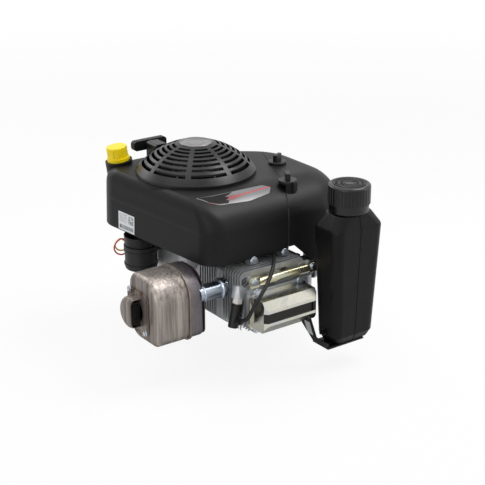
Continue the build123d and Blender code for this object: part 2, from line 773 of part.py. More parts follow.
with BuildPart() as muffler_front_shell:
    with BuildSketch(side(muffler_seam)):
        with BuildLine():
            FilletPolyline(*muffler_corners, radius=muffler_radii, close=True)
        make_face()
    extrude(amount=muffler_front - muffler_seam)
    fillet(muffler_front_shell.faces().sort_by(Axis.X)[0].edges(), 9)
    offset(amount=-muffler_sheet, openings=muffler_front_shell.faces().sort_by(Axis.X)[-1])
    with BuildSketch(side(muffler_seam)):
        with BuildLine():
            FilletPolyline(*muffler_corners, radius=muffler_radii, close=True)
        make_face()
        offset(amount=seam_lip)
        with BuildLine():
            FilletPolyline(*muffler_corners, radius=muffler_radii, close=True)
        make_face(mode=Mode.SUBTRACT)
    extrude(amount=-2.2)
    with BuildSketch(side(muffler_front + 5)):
        with Locations((outlet_y, outlet_z)):
            Circle(outlet_r - 10)
        with Locations(*outlet_screw_places):
            Circle(outlet_screw_r + run)
    extrude(amount=-10, mode=Mode.SUBTRACT)
keep("muffler_front_shell", muffler_front_shell)

with BuildPart() as muffler_rear_shell:
    with BuildSketch(side(muffler_seam)):
        with BuildLine():
            FilletPolyline(*muffler_corners, radius=muffler_radii, close=True)
        make_face()
    extrude(amount=muffler_back - muffler_seam)
    fillet(muffler_rear_shell.faces().sort_by(Axis.X)[-1].edges(), 5)
    offset(amount=-muffler_sheet, openings=muffler_rear_shell.faces().sort_by(Axis.X)[0])
    with BuildSketch(side(muffler_seam)):
        with BuildLine():
            FilletPolyline(*muffler_corners, radius=muffler_radii, close=True)
        make_face()
        offset(amount=seam_lip)
        with BuildLine():
            FilletPolyline(*muffler_corners, radius=muffler_radii, close=True)
        make_face(mode=Mode.SUBTRACT)
    extrude(amount=2.2)
    with BuildSketch(side(muffler_back - 6)):
        with Locations((pipe_y, pipe_z)):
            Circle(pipe_r + run)
    extrude(amount=8, mode=Mode.SUBTRACT)
keep("muffler_rear_shell", muffler_rear_shell)

plate_x = muffler_back + 3.0
with BuildPart() as muffler_plate:
    with BuildSketch(side(plate_x)):
        with BuildLine():
            FilletPolyline(*muffler_corners, radius=muffler_radii, close=True)
        make_face()
        offset(amount=-2)
        with Locations((pipe_y, pipe_z)):
            Circle(pipe_r + run, mode=Mode.SUBTRACT)
        with Locations((outlet_y, outlet_z)):
            RectangleRounded(40, 60, 8, mode=Mode.SUBTRACT)
    extrude(amount=1.5)
    # pressed stand-offs that meet the muffler's back
    with BuildSketch(side(muffler_back)):
        with Locations((muffler_far - 22, muffler_low + 26), (muffler_far - 22, muffler_high - 32)):
            Circle(6)
    extrude(amount=plate_x - muffler_back)
keep("muffler_plate", muffler_plate)

flange_x = port_end - 4.0
with BuildPart() as exhaust_pipe:
    with BuildSketch(side(muffler_back - 6)):
        with Locations((pipe_y, pipe_z)):
            Circle(pipe_r)
    extrude(amount=port_end - muffler_back + 6)
    with BuildSketch(side(flange_x)):
        with Locations((pipe_y, pipe_z)):
            Circle(pipe_r + 3)
    extrude(amount=port_end - flange_x)
    with BuildSketch(side(muffler_back - 6)):
        with Locations((pipe_y, pipe_z)):
            Circle(pipe_r - 2)
    extrude(amount=port_end - muffler_back + 6, mode=Mode.SUBTRACT)
keep("exhaust_pipe", exhaust_pipe)

outlet_depth, mouth_y = 23.0, outlet_y - outlet_r * 0.42
with BuildPart() as muffler_deflector:
    with BuildSketch(side(muffler_front)):
        with Locations((outlet_y, outlet_z)):
            Circle(outlet_r)
    extrude(amount=-outlet_depth)
    fillet(muffler_deflector.faces().sort_by(Axis.X)[0].edges(), 10)
    with BuildSketch(side(muffler_front - outlet_depth - 1)):
        with Locations((mouth_y - outlet_r, outlet_z)):
            Rectangle(2 * outlet_r, 4 * outlet_r)
    extrude(amount=outlet_depth + 2, mode=Mode.SUBTRACT)
    mouth_near = muffler_deflector.faces().sort_by(Axis.Y)[0]
    mouth_faces = (mouth_near, muffler_deflector.faces().sort_by(Axis.X)[-1])
    offset(amount=-1.2, openings=mouth_faces)
    with BuildSketch(side(muffler_front)):
        with Locations((outlet_y - 4, outlet_z)):
            RectangleRounded(2 * outlet_r + 10, 2 * outlet_r + 20, 12)
        with Locations((outlet_y, outlet_z)):
            Circle(outlet_r - 10, mode=Mode.SUBTRACT)
        with Locations(*outlet_screw_places):
            Circle(outlet_screw_r + run, mode=Mode.SUBTRACT)
    extrude(amount=-1.5)
keep("muffler_deflector", muffler_deflector)

mouth_half = sqrt(outlet_r ** 2 - (outlet_y - mouth_y) ** 2)
with BuildPart() as muffler_screen:
    with BuildSketch(facing(mouth_y + 2.2)):
        with Locations((muffler_front - 1.5 - gap - (outlet_depth - 4) / 2, outlet_z)):
            Rectangle(outlet_depth - 4, 2 * mouth_half - 12)
            with GridLocations(4, 4, 4, 10):
                Rectangle(2.6, 2.6, mode=Mode.SUBTRACT)
    extrude(amount=0.8)
keep("muffler_screen", muffler_screen)

# ================================================================ blower housing and air-cleaner cover
# Plan corners of the whole top moulding, each with its rounding radius.
plan = [(-106, -203, 42), (234, -203, 75), (234, 32, 105), (60, 165, 50), (-143, 170, 62)]
# Width and drop of the rounded shoulder along each side, starting at the front.
shoulders = [(80, 60), (36, 40), (34, 36), (34, 36), (14, 24)]
draft = tan(radians(1.5))


def moulding_corners(z, wall):
    """The plan's corners at height z, drawn in by draft, shoulder and wall thickness."""
    top = housing_top - wall
    insets = []
    for width, drop in shoulders:
        rise = min(max((z - top + drop) / drop, 0.0), 1.0)
        insets.append(wall + draft * (z - cover_skirt) + width * (1 - sqrt(1 - rise * rise)))
    sides = []
    for i, (x, y, _) in enumerate(plan):
        x2, y2, _ = plan[(i + 1) % len(plan)]
        run_x, run_y = x2 - x, y2 - y
        length = sqrt(run_x ** 2 + run_y ** 2)
        # inward normal of a side that is walked counter-clockwise
        nx, ny = -run_y / length, run_x / length
        sides.append((nx, ny, nx * x + ny * y + insets[i]))
    corners = []
    for i in range(len(plan)):
        a, b, c = sides[i - 1]
        d, e, f = sides[i]
        det = a * e - b * d
        corners.append(((c * e - b * f) / det, (a * f - c * d) / det))
    radii = [max(radius - (insets[i - 1] + insets[i]) * 0.35, 10) for i, (_, _, radius) in enumerate(plan)]
    return corners, radii


def moulding(wall, low):
    """The solid form of the top moulding: straight skirt, then the rounded shoulder."""
    top = housing_top - wall
    steps = [0.0, 0.3, 0.55, 0.75, 0.88, 0.96, 1.0]
    drop = max(d for _, d in shoulders)
    with BuildPart() as skirt:
        for z in (low, top - drop):
            corners, radii = moulding_corners(z, wall)
            with BuildSketch(Plane.XY.offset(z)):
                with BuildLine():
                    FilletPolyline(*corners, radius=radii, close=True)
                make_face()
        loft(ruled=True)
    with BuildPart() as shoulder:
        for step in steps:
            z = top - drop + drop * step
            corners, radii = moulding_corners(z, wall)
            with BuildSketch(Plane.XY.offset(z)):
                with BuildLine():
                    FilletPolyline(*corners, radius=radii, close=True)
                make_face()
        loft()
    return skirt.part + shoulder.part


seam_at = Vector(75, -200, 0)
seam_way = Vector(100, 216, 0).normalized()
seam_out = Vector(seam_way.Y, -seam_way.X, 0)
seam_plane = Plane(origin=seam_at, x_dir=seam_way, z_dir=seam_out)
seam_gap = 0.8
shell_outer = moulding(0.0, cover_skirt)
shell_inner = moulding(housing_wall, cover_skirt - 5)
scroll_r = ring_r + 2
intake_hole_r = ring_r - 9
oil_plane = Plane(origin=(-92, 137, housing_top - 4), z_dir=Vector(-0.13, 0.04, 1))
oil_collar_r, oil_tube_r = 27.0, 11.0
knob_places = [(158.0, -54.0), (103.0, -158.0)]
stud_r, knob_boss = 3.0, 22.0

with BuildPart() as blower_housing:
    add(shell_outer)
    # round the flywheel the wall stands as a scroll under the grille
    with BuildSketch(Plane.XY.offset(housing_skirt)):
        Circle(scroll_r)
    extrude(amount=housing_top - housing_skirt)
    add(shell_inner, mode=Mode.SUBTRACT)
    with BuildSketch(Plane.XY.offset(housing_skirt)):
        Circle(scroll_r - housing_wall)
    extrude(amount=housing_top - housing_wall - housing_skirt, mode=Mode.SUBTRACT)
    with BuildSketch(Plane.XY.offset(housing_top - 10)):
        Circle(intake_hole_r)
    extrude(amount=20, mode=Mode.SUBTRACT)
    with BuildSketch(Plane.XY.offset(housing_skirt)):
        Rectangle(900, 900)
    extrude(amount=-100, mode=Mode.SUBTRACT)
    # collar of the oil filler on the back corner
    with BuildSketch(oil_plane):
        Circle(oil_collar_r)
    extrude(amount=9)
    with BuildSketch(oil_plane):
        Circle(oil_collar_r)
    extrude(amount=-16)
    with BuildSketch(oil_plane.offset(9)):
        Circle(oil_collar_r - 4)
    extrude(amount=-5, mode=Mode.SUBTRACT)
    with BuildSketch(oil_plane.offset(12)):
        Circle(oil_tube_r + 0.6)
    extrude(amount=-40, mode=Mode.SUBTRACT)
    split(bisect_by=seam_plane.offset(-seam_gap / 2), keep=Keep.BOTTOM)
    # tabs for the two screws that hold the skirt to the cylinder
    with BuildSketch(facing(housing_face_y)):
        with Locations(*housing_screw_places):
            RectangleRounded(16, 13, 5)
    extrude(amount=2.5)
    with BuildSketch(facing(housing_face_y + 5)):
        with Locations(*housing_screw_places):
            Circle(cover_screw_r + run)
    extrude(amount=20, mode=Mode.SUBTRACT)
keep("blower_housing", blower_housing)

with BuildPart() as air_cleaner_cover:
    add(shell_outer)
    add(shell_inner, mode=Mode.SUBTRACT)
    # bosses under the two knobs
    with BuildSketch(Plane.XY.offset(housing_top + 0.5)):
        with Locations(*knob_places):
            Circle(19)
    extrude(amount=-knob_boss)
    with BuildSketch(Plane.XY.offset(housing_top + 0.5)):
        with Locations(*knob_places):
            Circle(stud_r + 0.5)
    extrude(amount=-2 * knob_boss, mode=Mode.SUBTRACT)
    split(bisect_by=seam_plane.offset(seam_gap / 2), keep=Keep.TOP)
    # the skirt is cut on a slope beside the head and level past it
    with BuildSketch(Plane.XZ):
        Polygon((-200, 0), (300, 0), (300, cover_skirt + 8), (150, cover_skirt + 8),
                (88, housing_skirt + 4), (-200, housing_skirt + 4), align=None)
    extrude(amount=400, both=True, mode=Mode.SUBTRACT)
keep("air_cleaner_cover", air_cleaner_cover)

knob_seat = housing_top + 0.5
for side_name, (x, y), turn in (("rear", knob_places[0], 25), ("front", knob_places[1], 60)):
    with BuildPart() as cover_knob:
        with BuildSketch(Plane.XY.offset(knob_seat)):
            with Locations((x, y)):
                Circle(18)
        extrude(amount=5)
        fillet(cover_knob.faces().sort_by(Axis.Z)[-1].edges(), 2)
        with BuildSketch(Plane.XY.offset(knob_seat + 4)):
            with Locations(Location((x, y, 0), turn)):
                RectangleRounded(24, 9, 3)
        extrude(amount=15)
        fillet(cover_knob.faces().sort_by(Axis.Z)[-1].edges(), 2)
        with BuildSketch(Plane.XY.offset(knob_seat - 1)):
            with Locations((x, y)):
                Circle(stud_r + run)
        extrude(amount=11, mode=Mode.SUBTRACT)
    keep(f"cover_knob_{side_name}", cover_knob)

# ================================================================ recoil starter and grille
dome_z0 = housing_top + ring_height
dome_centre = ((dome_top ** 2 + badge_r ** 2) - (dome_z0 ** 2 + ring_r ** 2)) / (2 * (dome_top - dome_z0))
dome_sphere = sqrt(badge_r ** 2 + (dome_top - dome_centre) ** 2)


def dome_height(radius, inside=0.0):
    """Height of the dome over a point at this radius, optionally on its inner face."""
    return dome_centre + sqrt((dome_sphere - inside) ** 2 - radius ** 2)


grip_x, grip_y, grip_z = -27.0, 128.0, 292.0
eyelet_y = grip_y - 14.0
pulley_r, pulley_z, pulley_face = 46.0, 272.0, 12.0
pulley_low = pulley_z - pulley_face / 2
post_r, post_foot = 12.0, pulley_low - gap
rope_r = 2.25
row_pitch = (ring_r - 9 - badge_r - 5) / dome_rows
rib_in, rib_out = 7.0, 11.0
mid_r = (ring_r + badge_r) / 2

with BuildPart() as recoil_housing:
    with BuildSketch(Plane.XZ):
        with BuildLine():
            inner_top = dome_height(badge_r, dome_wall)
            inner_low = dome_height(ring_r - 9, dome_wall)
            Polyline((0, dome_top), (badge_r, dome_top))
            ThreePointArc((badge_r, dome_top), (mid_r, dome_height(mid_r)), (ring_r, dome_z0))
            Polyline((ring_r, dome_z0), (ring_r, housing_top), (ring_r - 9, housing_top),
                     (ring_r - 9, inner_low))
            ThreePointArc((ring_r - 9, inner_low), (mid_r, dome_height(mid_r, dome_wall)),
                          (badge_r, inner_top))
            Polyline((badge_r, inner_top), (0, inner_top), (0, dome_top))
        make_face()
    revolve(axis=Axis.Z)
    # seat of the badge
    with BuildSketch(Plane.XY.offset(dome_top)):
        Circle(badge_r - 2)
    extrude(amount=-1.2, mode=Mode.SUBTRACT)
    # slots between the ribs, outermost row first, cut straight down
    with BuildSketch(Plane.XY.offset(dome_z0 - 8)):
        for row in reversed(range(dome_rows)):
            slot_mid = badge_r + 5 + row_pitch * (row + 0.5)
            Circle(slot_mid + slot_width / 2)
            Circle(slot_mid - slot_width / 2, mode=Mode.SUBTRACT)
        with PolarLocations(0, dome_ribs, start_angle=3):
            Polygon((0, -rib_in / 2), (ring_r, -rib_out / 2), (ring_r, rib_out / 2), (0, rib_in / 2),
                    align=None, mode=Mode.SUBTRACT)
    extrude(amount=60, mode=Mode.SUBTRACT)
    # the rope's eyelet stands on the back of the dome
    with BuildSketch(facing(eyelet_y)):
        with Locations((grip_x, grip_z - 12)):
            RectangleRounded(30, 44, 6)
    extrude(amount=34)
    with BuildSketch(Plane.XY.offset(dome_z0 - 20)):
        Circle(ring_r - 9)
    extrude(amount=20, mode=Mode.SUBTRACT)
    with BuildSketch(Plane.XY.offset(housing_top - 10)):
        Rectangle(400, 400)
    extrude(amount=10, mode=Mode.SUBTRACT)
    with BuildSketch(facing(eyelet_y + 1)):
        with Locations((grip_x, grip_z)):
            Circle(7)
    extrude(amount=80, mode=Mode.SUBTRACT)
    # post that carries the rope pulley
    with BuildSketch(Plane.XY.offset(post_foot)):
        Circle(post_r)
    extrude(amount=dome_top - 3 - post_foot)
    with BuildSketch(Plane.XY.offset(post_foot)):
        Circle(3 + run)
    extrude(amount=20, mode=Mode.SUBTRACT)
keep("recoil_housing", recoil_housing)

with BuildPart() as grille_badge:
    with BuildSketch(Plane.XY.offset(dome_top - 1.2)):
        Circle(badge_r - 2 - 0.1)
    extrude(amount=2)
    fillet(grille_badge.faces().sort_by(Axis.Z)[-1].edges(), 0.6)
keep("grille_badge", grille_badge)

with BuildPart() as rope_pulley:
    with BuildSketch(Plane.XZ):
        Polygon(
            (post_r + run, pulley_low), (post_r + run, pulley_low + pulley_face),
            (16, pulley_low + pulley_face), (16, pulley_low + 5), (36, pulley_low + 5),
            (36, pulley_low + pulley_face), (pulley_r, pulley_low + pulley_face),
            (pulley_r - 6, pulley_z + 2.5), (pulley_r - 6, pulley_z - 2.5), (pulley_r, pulley_low),
            (24, pulley_low), (24, nut_z + 34), (20, nut_z + 34), (20, pulley_low), align=None,
        )
    revolve(axis=Axis.Z)
keep("rope_pulley", rope_pulley)

with BuildPart() as starter_rope:
    with BuildSketch(Plane.XZ):
        with Locations((pulley_r - 6 + rope_r + gap, pulley_z)):
            Circle(rope_r)
    revolve(axis=Axis.Z)
keep("starter_rope", starter_rope)

with BuildPart() as recoil_spring:
    with BuildSketch(Plane.XY.offset(pulley_low + 5)):
        for turn in reversed(range(4)):
            Circle(22 + 4 * turn)
            Circle(20 + 4 * turn, mode=Mode.SUBTRACT)
        Rectangle(2, 66)
        Circle(18, mode=Mode.SUBTRACT)
    extrude(amount=pulley_face - 6)
keep("recoil_spring", recoil_spring)

with BuildPart() as pulley_screw:
    with BuildSketch(Plane.XY.offset(post_foot)):
        Circle(post_r + 3)
        RegularPolygon(6, 6)
    extrude(amount=-2.5)
    with BuildSketch(Plane.XY.offset(post_foot - 2.5)):
        RegularPolygon(6, 6)
    extrude(amount=-4)
    with BuildSketch(Plane.XY.offset(post_foot)):
        Circle(3)
    extrude(amount=16)
keep("pulley_screw", pulley_screw)

grip_length = 76.0
with BuildPart() as starter_grip:
    with BuildSketch(facing(eyelet_y + gap)):
        with Locations((grip_x, grip_z)):
            Circle(9)
    extrude(amount=-10)
    with BuildSketch(facing(eyelet_y + 8)):
        with Locations((grip_x, grip_z)):
            RectangleRounded(grip_length, 20, 7)
    extrude(amount=-17)
    fillet(starter_grip.faces().sort_by(Axis.Y)[-1].edges(), 5)
    with BuildSketch(facing(eyelet_y + gap)):
        with Locations((grip_x, grip_z)):
            Circle(6)
    extrude(amount=16)
keep("starter_grip", starter_grip)

# ================================================================ flywheel, fan and ignition
hub_r, rim_r = 22.0, 96.5
ring_low, ring_face = flywheel_z, 11.0

with BuildPart() as flywheel:
    with BuildSketch(Plane.XY.offset(ring_low)):
        gear_profile(ring_teeth, ring_module)
    extrude(amount=ring_face)
    with BuildSketch(Plane.XY.offset(ring_low + ring_face)):
        Circle(rim_r)
    extrude(amount=flywheel_thick - ring_face)
    with BuildSketch(Plane.XY.offset(flywheel_z)):
        Circle(rim_r - 14)
        Circle(hub_r + 8, mode=Mode.SUBTRACT)
    extrude(amount=flywheel_thick - 8, mode=Mode.SUBTRACT)
    with BuildSketch(Plane.XY.offset(flywheel_z)):
        Circle(hub_r)
    extrude(amount=nut_z - flywheel_z)
    with BuildSketch(Plane.XZ):
        Polygon(
            (0, flywheel_z), (taper_low_r + run, flywheel_z),
            (taper_high_r + run, flywheel_z + flywheel_thick),
            (8.4, flywheel_z + flywheel_thick), (8.4, nut_z), (0, nut_z), align=None,
        )
    revolve(axis=Axis.Z, mode=Mode.SUBTRACT)
keep("flywheel", flywheel)

fan_z = flywheel_z + flywheel_thick
with BuildPart() as cooling_fan:
    with BuildSketch(Plane.XY.offset(fan_z)):
        Circle(rim_r + 1)
        Circle(hub_r + run, mode=Mode.SUBTRACT)
    extrude(amount=3)
    with BuildSketch(Plane.XY.offset(fan_z + 3)):
        with PolarLocations(78, fan_blades):
            with Locations(Location((0, 0, 0), 28)):
                Rectangle(34, 2.4)
    extrude(amount=fan_height - 3)
keep("cooling_fan", cooling_fan)

with BuildPart() as starter_cup:
    with BuildSketch(Plane.XZ):
        Polygon((8.4, nut_z), (38, nut_z), (38, nut_z + 42), (36, nut_z + 42), (36, nut_z + 2),
                (8.4, nut_z + 2), align=None)
    revolve(axis=Axis.Z)
    with BuildSketch(Plane.XZ.offset(-60)):
        with Locations((0, nut_z + 22)):
            SlotOverall(18, 9)
    extrude(amount=120, mode=Mode.SUBTRACT)
keep("starter_cup", starter_cup)

with BuildPart() as flywheel_nut:
    with BuildSketch(Plane.XY.offset(nut_z + 2)):
        RegularPolygon(16, 6)
        Circle(8 + run, mode=Mode.SUBTRACT)
    extrude(amount=11)
keep("flywheel_nut", flywheel_nut)

coil_z, core_thick = fan_z - 15.0, 12.0
with BuildPart() as coil_core:
    with BuildSketch(Plane.XY.offset(coil_z)):
        with Locations((0, -coil_reach)):
            RectangleRounded(2 * coil_half_span + 14, 13, 3)
        for x in (-coil_half_span, 0, coil_half_span):
            with Locations((x, -coil_reach + 6)):
                Rectangle(10, coil_reach - 6 - sqrt((rim_r + 1) ** 2 - x ** 2),
                          align=(Align.CENTER, Align.MIN))
        Circle(rim_r + 0.6, mode=Mode.SUBTRACT)
    extrude(amount=core_thick)
    with BuildSketch(Plane.XY.offset(flywheel_z)):
        with Locations(*coil_pillars):
            Circle(5)
    extrude(amount=coil_z - flywheel_z)

with BuildPart() as ignition_coil:
    with BuildSketch(Plane.XY.offset(coil_z - 9)):
        with Locations((0, -coil_reach + 15.5)):
            RectangleRounded(37, 17.5, 4)
    extrude(amount=core_thick + 16)
    with BuildSketch(Plane.XY.offset(coil_z - 0.1)):
        with Locations((0, -coil_reach + 15)):
            Rectangle(10.2, 40)
    extrude(amount=core_thick + 0.2, mode=Mode.SUBTRACT)
    add(coil_core.part)
keep("ignition_coil", ignition_coil)


def cord_radii(points):
    """Bend radii that the runs of a cord's route leave room for."""
    radii = []
    for a, b, c in zip(points, points[1:], points[2:]):
        first, second = Vector(b) - Vector(a), Vector(c) - Vector(b)
        turn = radians(first.get_angle(second))
        radii.append(0.45 * min(first.length, second.length) / tan(turn / 2))
    return radii


def cord(name, points, radius):
    """A round cord along straight runs joined by tangent arcs."""
    radii = cord_radii(points)
    print(name, "bend radii", [round(r, 1) for r in radii])
    path = FilletPolyline(*points, radius=radii)
    with BuildPart() as tube:
        with BuildSketch(Plane(origin=points[0], z_dir=Vector(points[1]) - Vector(points[0]))):
            Circle(radius)
        sweep(path=path)
    print(name, "length", round(path.length, 1), "volume ratio",
          round(tube.part.volume / (pi * radius ** 2 * path.length), 4))
    return tube


lead_end = boot_foot + nipple_way * 12
lead_points = [
    (18.9, -coil_reach + 15.5, coil_z - 5), (33, -113, 158), (45, -132, 155), (51, -156, 150),
    (48, -180, 145), (36, -204, 139.5), (19, -228, 139), (-6, -250, 124), (-28, -262, 110),
    (-48, -268, 95), (-57, -263, 75), tuple(lead_turn), tuple(lead_end),
]
ignition_lead = cord("ignition_lead", lead_points, lead_r)
keep("ignition_lead", ignition_lead)

# ================================================================ electric starter
can_r, can_low, can_high = 32.0, 68.0, 118.0
block_x, block_y, block_low, block_height = starter_x - 4, starter_y + 36, 88.0, 36.0
pinion_low, pinion_face, starter_shaft_r = 121.5, 11.0, 5.5
case_lug_z = can_high - 8.0

with BuildPart() as starter_motor:
    with BuildSketch(Plane.XY.offset(can_low)):
        with Locations((starter_x, starter_y)):
            Circle(can_r)
    extrude(amount=can_high - can_low)
    fillet(starter_motor.faces().sort_by(Axis.Z)[0].edges(), 5)
    with BuildSketch(Plane.XY.offset(can_low + 9), Plane.XY.offset(can_high - 13)):
        with Locations((starter_x, starter_y)):
            Circle(can_r + 1.6)
    extrude(amount=4)
    # drive-end bracket, reaching to the crankcase wall
    with BuildSketch(Plane.XY.offset(case_lug_z)):
        with Locations((starter_x, starter_y)):
            Circle(can_r + 1.6)
        with Locations(((starter_x + case_left - gap) / 2, starter_y - 8)):
            Rectangle(case_left - gap - starter_x, 44)
    extrude(amount=8)
    with BuildSketch(Plane.XY.offset(can_high)):
        with Locations((starter_x, starter_y)):
            Circle(13)
    extrude(amount=2.5)
    with BuildSketch(Plane.XY.offset(can_high)):
        with Locations((starter_x, starter_y)):
            Circle(starter_shaft_r)
    extrude(amount=ring_low + ring_face + 8 - can_high)
    # terminal block on the back of the can
    with BuildSketch(Plane.XY.offset(block_low)):
        with Locations((block_x, block_y)):
            RectangleRounded(16, 14, 3)
    extrude(amount=block_height)
keep("starter_motor", starter_motor)

# A space of the pinion faces the tooth of the ring gear nearest the starter.
tooth_step = 360 / ring_teeth
nearest_tooth = round(starter_angle / tooth_step) * tooth_step
pinion_turn = starter_angle + 180 + 180 / pinion_teeth
pinion_turn -= (nearest_tooth - starter_angle) * ring_teeth / pinion_teeth
with BuildPart() as starter_pinion:
    with BuildSketch(Plane.XY.offset(pinion_low)):
        gear_profile(pinion_teeth, ring_module, at=(starter_x, starter_y), turn=pinion_turn)
    extrude(amount=pinion_face)
    with BuildSketch(Plane.XY.offset(pinion_low)):
        with Locations((starter_x, starter_y)):
            Circle(starter_shaft_r + run)
    extrude(amount=pinion_face, mode=Mode.SUBTRACT)
keep("starter_pinion", starter_pinion)

wire_r = 1.5
wire_top = block_low + block_height - 6
red_points = [
    (block_x - 8.8, block_y, wire_top), (block_x - 19, block_y + 1, wire_top + 5),
    (block_x - 31, block_y + 2, wire_top - 2), (block_x - 36, block_y + 2, wire_top - 14),
    (block_x - 30, block_y + 1, wire_top - 25), (block_x - 19, block_y, wire_top - 30),
    (block_x - 8.8, block_y, wire_top - 28),
]
yellow_points = [
    (block_x - 9, block_y + 3.5, wire_top - 4), (block_x - 17, block_y + 5, wire_top + 4),
    (block_x - 27, block_y + 6, wire_top - 1), (block_x - 31, block_y + 6.5, wire_top - 10),
    (block_x - 26, block_y + 6, wire_top - 19), (block_x - 17, block_y + 5, wire_top - 23),
    (block_x - 9, block_y + 3.5, wire_top - 22),
]
tail_points = [
    (block_x, block_y + 1, block_low - 0.2), (block_x + 1, block_y + 2, block_low - 14),
    (block_x + 8, block_y + 5, block_low - 28), (block_x + 22, block_y + 7, block_low - 37),
    (case_left - 4, case_back + 4, block_low - 41), (case_left + 10.8, case_back - 10.8, block_low - 42),
]
wire_red = cord("wire_red", red_points, wire_r)
keep("wire_red", wire_red)
yellow_loop = cord("wire_yellow loop", yellow_points, wire_r)
yellow_tail = cord("wire_yellow tail", tail_points, wire_r)
with BuildPart() as wire_yellow:
    add(yellow_loop.part)
    add(yellow_tail.part)
keep("wire_yellow", wire_yellow)

# ================================================================ oil filler
tube_foot = oil_plane.origin - oil_plane.z_dir * 150
elbow_points = [
    tuple(oil_plane.origin + oil_plane.z_dir * 8), tuple(tube_foot),
    (tube_foot.X + 12, tube_foot.Y - 8, tube_foot.Z - 32),
    (tube_foot.X + 34, case_back - 8, tube_foot.Z - 50),
]
elbow_path = FilletPolyline(*elbow_points, radius=[26, 22])
with BuildPart() as oil_fill_tube:
    with BuildSketch(Plane(origin=elbow_points[0], z_dir=-oil_plane.z_dir)):
        Circle(oil_tube_r)
    sweep(path=elbow_path)
    with BuildSketch(Plane(origin=elbow_points[0], z_dir=-oil_plane.z_dir)):
        Circle(oil_tube_r - 2)
    extrude(amount=150, mode=Mode.SUBTRACT)
    # the foot is cut flush with the crankcase wall
    with BuildSketch(facing(case_back + gap)):
        Rectangle(600, 600)
    extrude(amount=40, mode=Mode.SUBTRACT)
keep("oil_fill_tube", oil_fill_tube)

cap_plane = oil_plane.offset(9 + gap)
oil_cap_r, oil_cap_height, dipstick_length = 20.5, 29.0, 128.0
with BuildPart() as oil_cap:
    with BuildSketch(cap_plane):
        Circle(oil_cap_r + 2)
    extrude(amount=6)
    with BuildSketch(cap_plane.offset(6)):
        Circle(oil_cap_r)
        with PolarLocations(oil_cap_r + 1.5, 8):
            Circle(3.2, mode=Mode.SUBTRACT)
    extrude(amount=oil_cap_height - 6)
    fillet(oil_cap.faces().sort_by(Axis((0, 0, 0), tuple(oil_plane.z_dir)))[-1].edges(), 2)
    with BuildSketch(cap_plane):
        Circle(oil_tube_r - 2 - 0.6)
    extrude(amount=-10)
    with BuildSketch(cap_plane.offset(-10)):
        Rectangle(7, 2)
    extrude(amount=-(dipstick_length - 10))
keep("oil_cap", oil_cap)

# ================================================================ fuel tank
tank_low_w, tank_low_d, tank_top_w, tank_top_d = 98.0, 61.0, 116.0, 76.0
tank_corner, tank_soften = 18.0, 7.0
foot_in, foot_up = 8.0, 16.0
shoulder_w, shoulder_d, shoulder_corner = 82.0, 63.0, 24.0


def tank_form(wall):
    """The bottle shape: a tapering rounded box, a sloping shoulder and a short neck."""
    with BuildPart() as form:
        foot = 2 * (foot_in + wall)
        with BuildSketch(Plane.XY.offset(tank_low + wall)):
            with Locations((tank_x, tank_y)):
                RectangleRounded(tank_low_w - foot, tank_low_d - foot, tank_corner - 4 - wall)
        with BuildSketch(Plane.XY.offset(tank_low + foot_up)):
            with Locations((tank_x, tank_y)):
                RectangleRounded(tank_low_w - 2 * wall, tank_low_d - 2 * wall, tank_corner - wall)
        loft(ruled=True)
        with BuildSketch(Plane.XY.offset(tank_low + foot_up)):
            with Locations((tank_x, tank_y)):
                RectangleRounded(tank_low_w - 2 * wall, tank_low_d - 2 * wall, tank_corner - wall)
        with BuildSketch(Plane.XY.offset(tank_shoulder)):
            with Locations((tank_x, tank_y)):
                RectangleRounded(tank_top_w - 2 * wall, tank_top_d - 2 * wall, tank_corner - wall)
        loft(ruled=True)
        with BuildSketch(Plane.XY.offset(tank_shoulder)):
            with Locations((tank_x, tank_y)):
                RectangleRounded(tank_top_w - 2 * wall, tank_top_d - 2 * wall, tank_corner - wall)
        with BuildSketch(Plane.XY.offset(tank_top_z - wall)):
            with Locations((tank_x, tank_y)):
                RectangleRounded(shoulder_w - 2 * wall, shoulder_d - 2 * wall, shoulder_corner - wall)
        loft(ruled=True)
        if not wall:
            bands = form.edges().group_by(Axis.Z)
            fillet(bands[0], tank_soften)
            fillet(form.edges().group_by(Axis.Z)[-1], tank_soften / 2)
            shoulder = form.edges().filter_by(lambda e: abs(e.center().Z - tank_shoulder) < 0.01)
            fillet(shoulder, tank_soften + 5)
    return form.part


spigot_y, spigot_z, spigot_r, spigot_length = tank_y, tank_low + 24, 3.2, 12.5
spigot_root_r, spigot_root = 7.0, 2.5
with BuildPart() as fuel_tank:
    add(tank_form(0))
    with BuildSketch(Plane.XY.offset(tank_top_z - 2 * tank_wall)):
        with Locations((tank_x, tank_y)):
            Circle(neck_r)
    extrude(amount=neck_height + 2 * tank_wall)
    with BuildSketch(side(tank_x - tank_low_w / 2 + 4)):
        with Locations((spigot_y, spigot_z)):
            Circle(spigot_r)
    extrude(amount=-spigot_length - 4)
    # flat boss at its root, which the hose stops against
    with BuildSketch(side(tank_x - tank_low_w / 2 + 4)):
        with Locations((spigot_y, spigot_z)):
            Circle(spigot_root_r)
    extrude(amount=-spigot_root - 4)
    add(tank_form(tank_wall), mode=Mode.SUBTRACT)
    with BuildSketch(Plane.XY.offset(tank_top_z - neck_height)):
        with Locations((tank_x, tank_y)):
            Circle(neck_r - tank_wall)
    extrude(amount=3 * neck_height, mode=Mode.SUBTRACT)
    with BuildSketch(side(tank_x)):
        with Locations((spigot_y, spigot_z)):
            Circle(spigot_r - 1.4)
    extrude(amount=-100, mode=Mode.SUBTRACT)
keep("fuel_tank", fuel_tank)

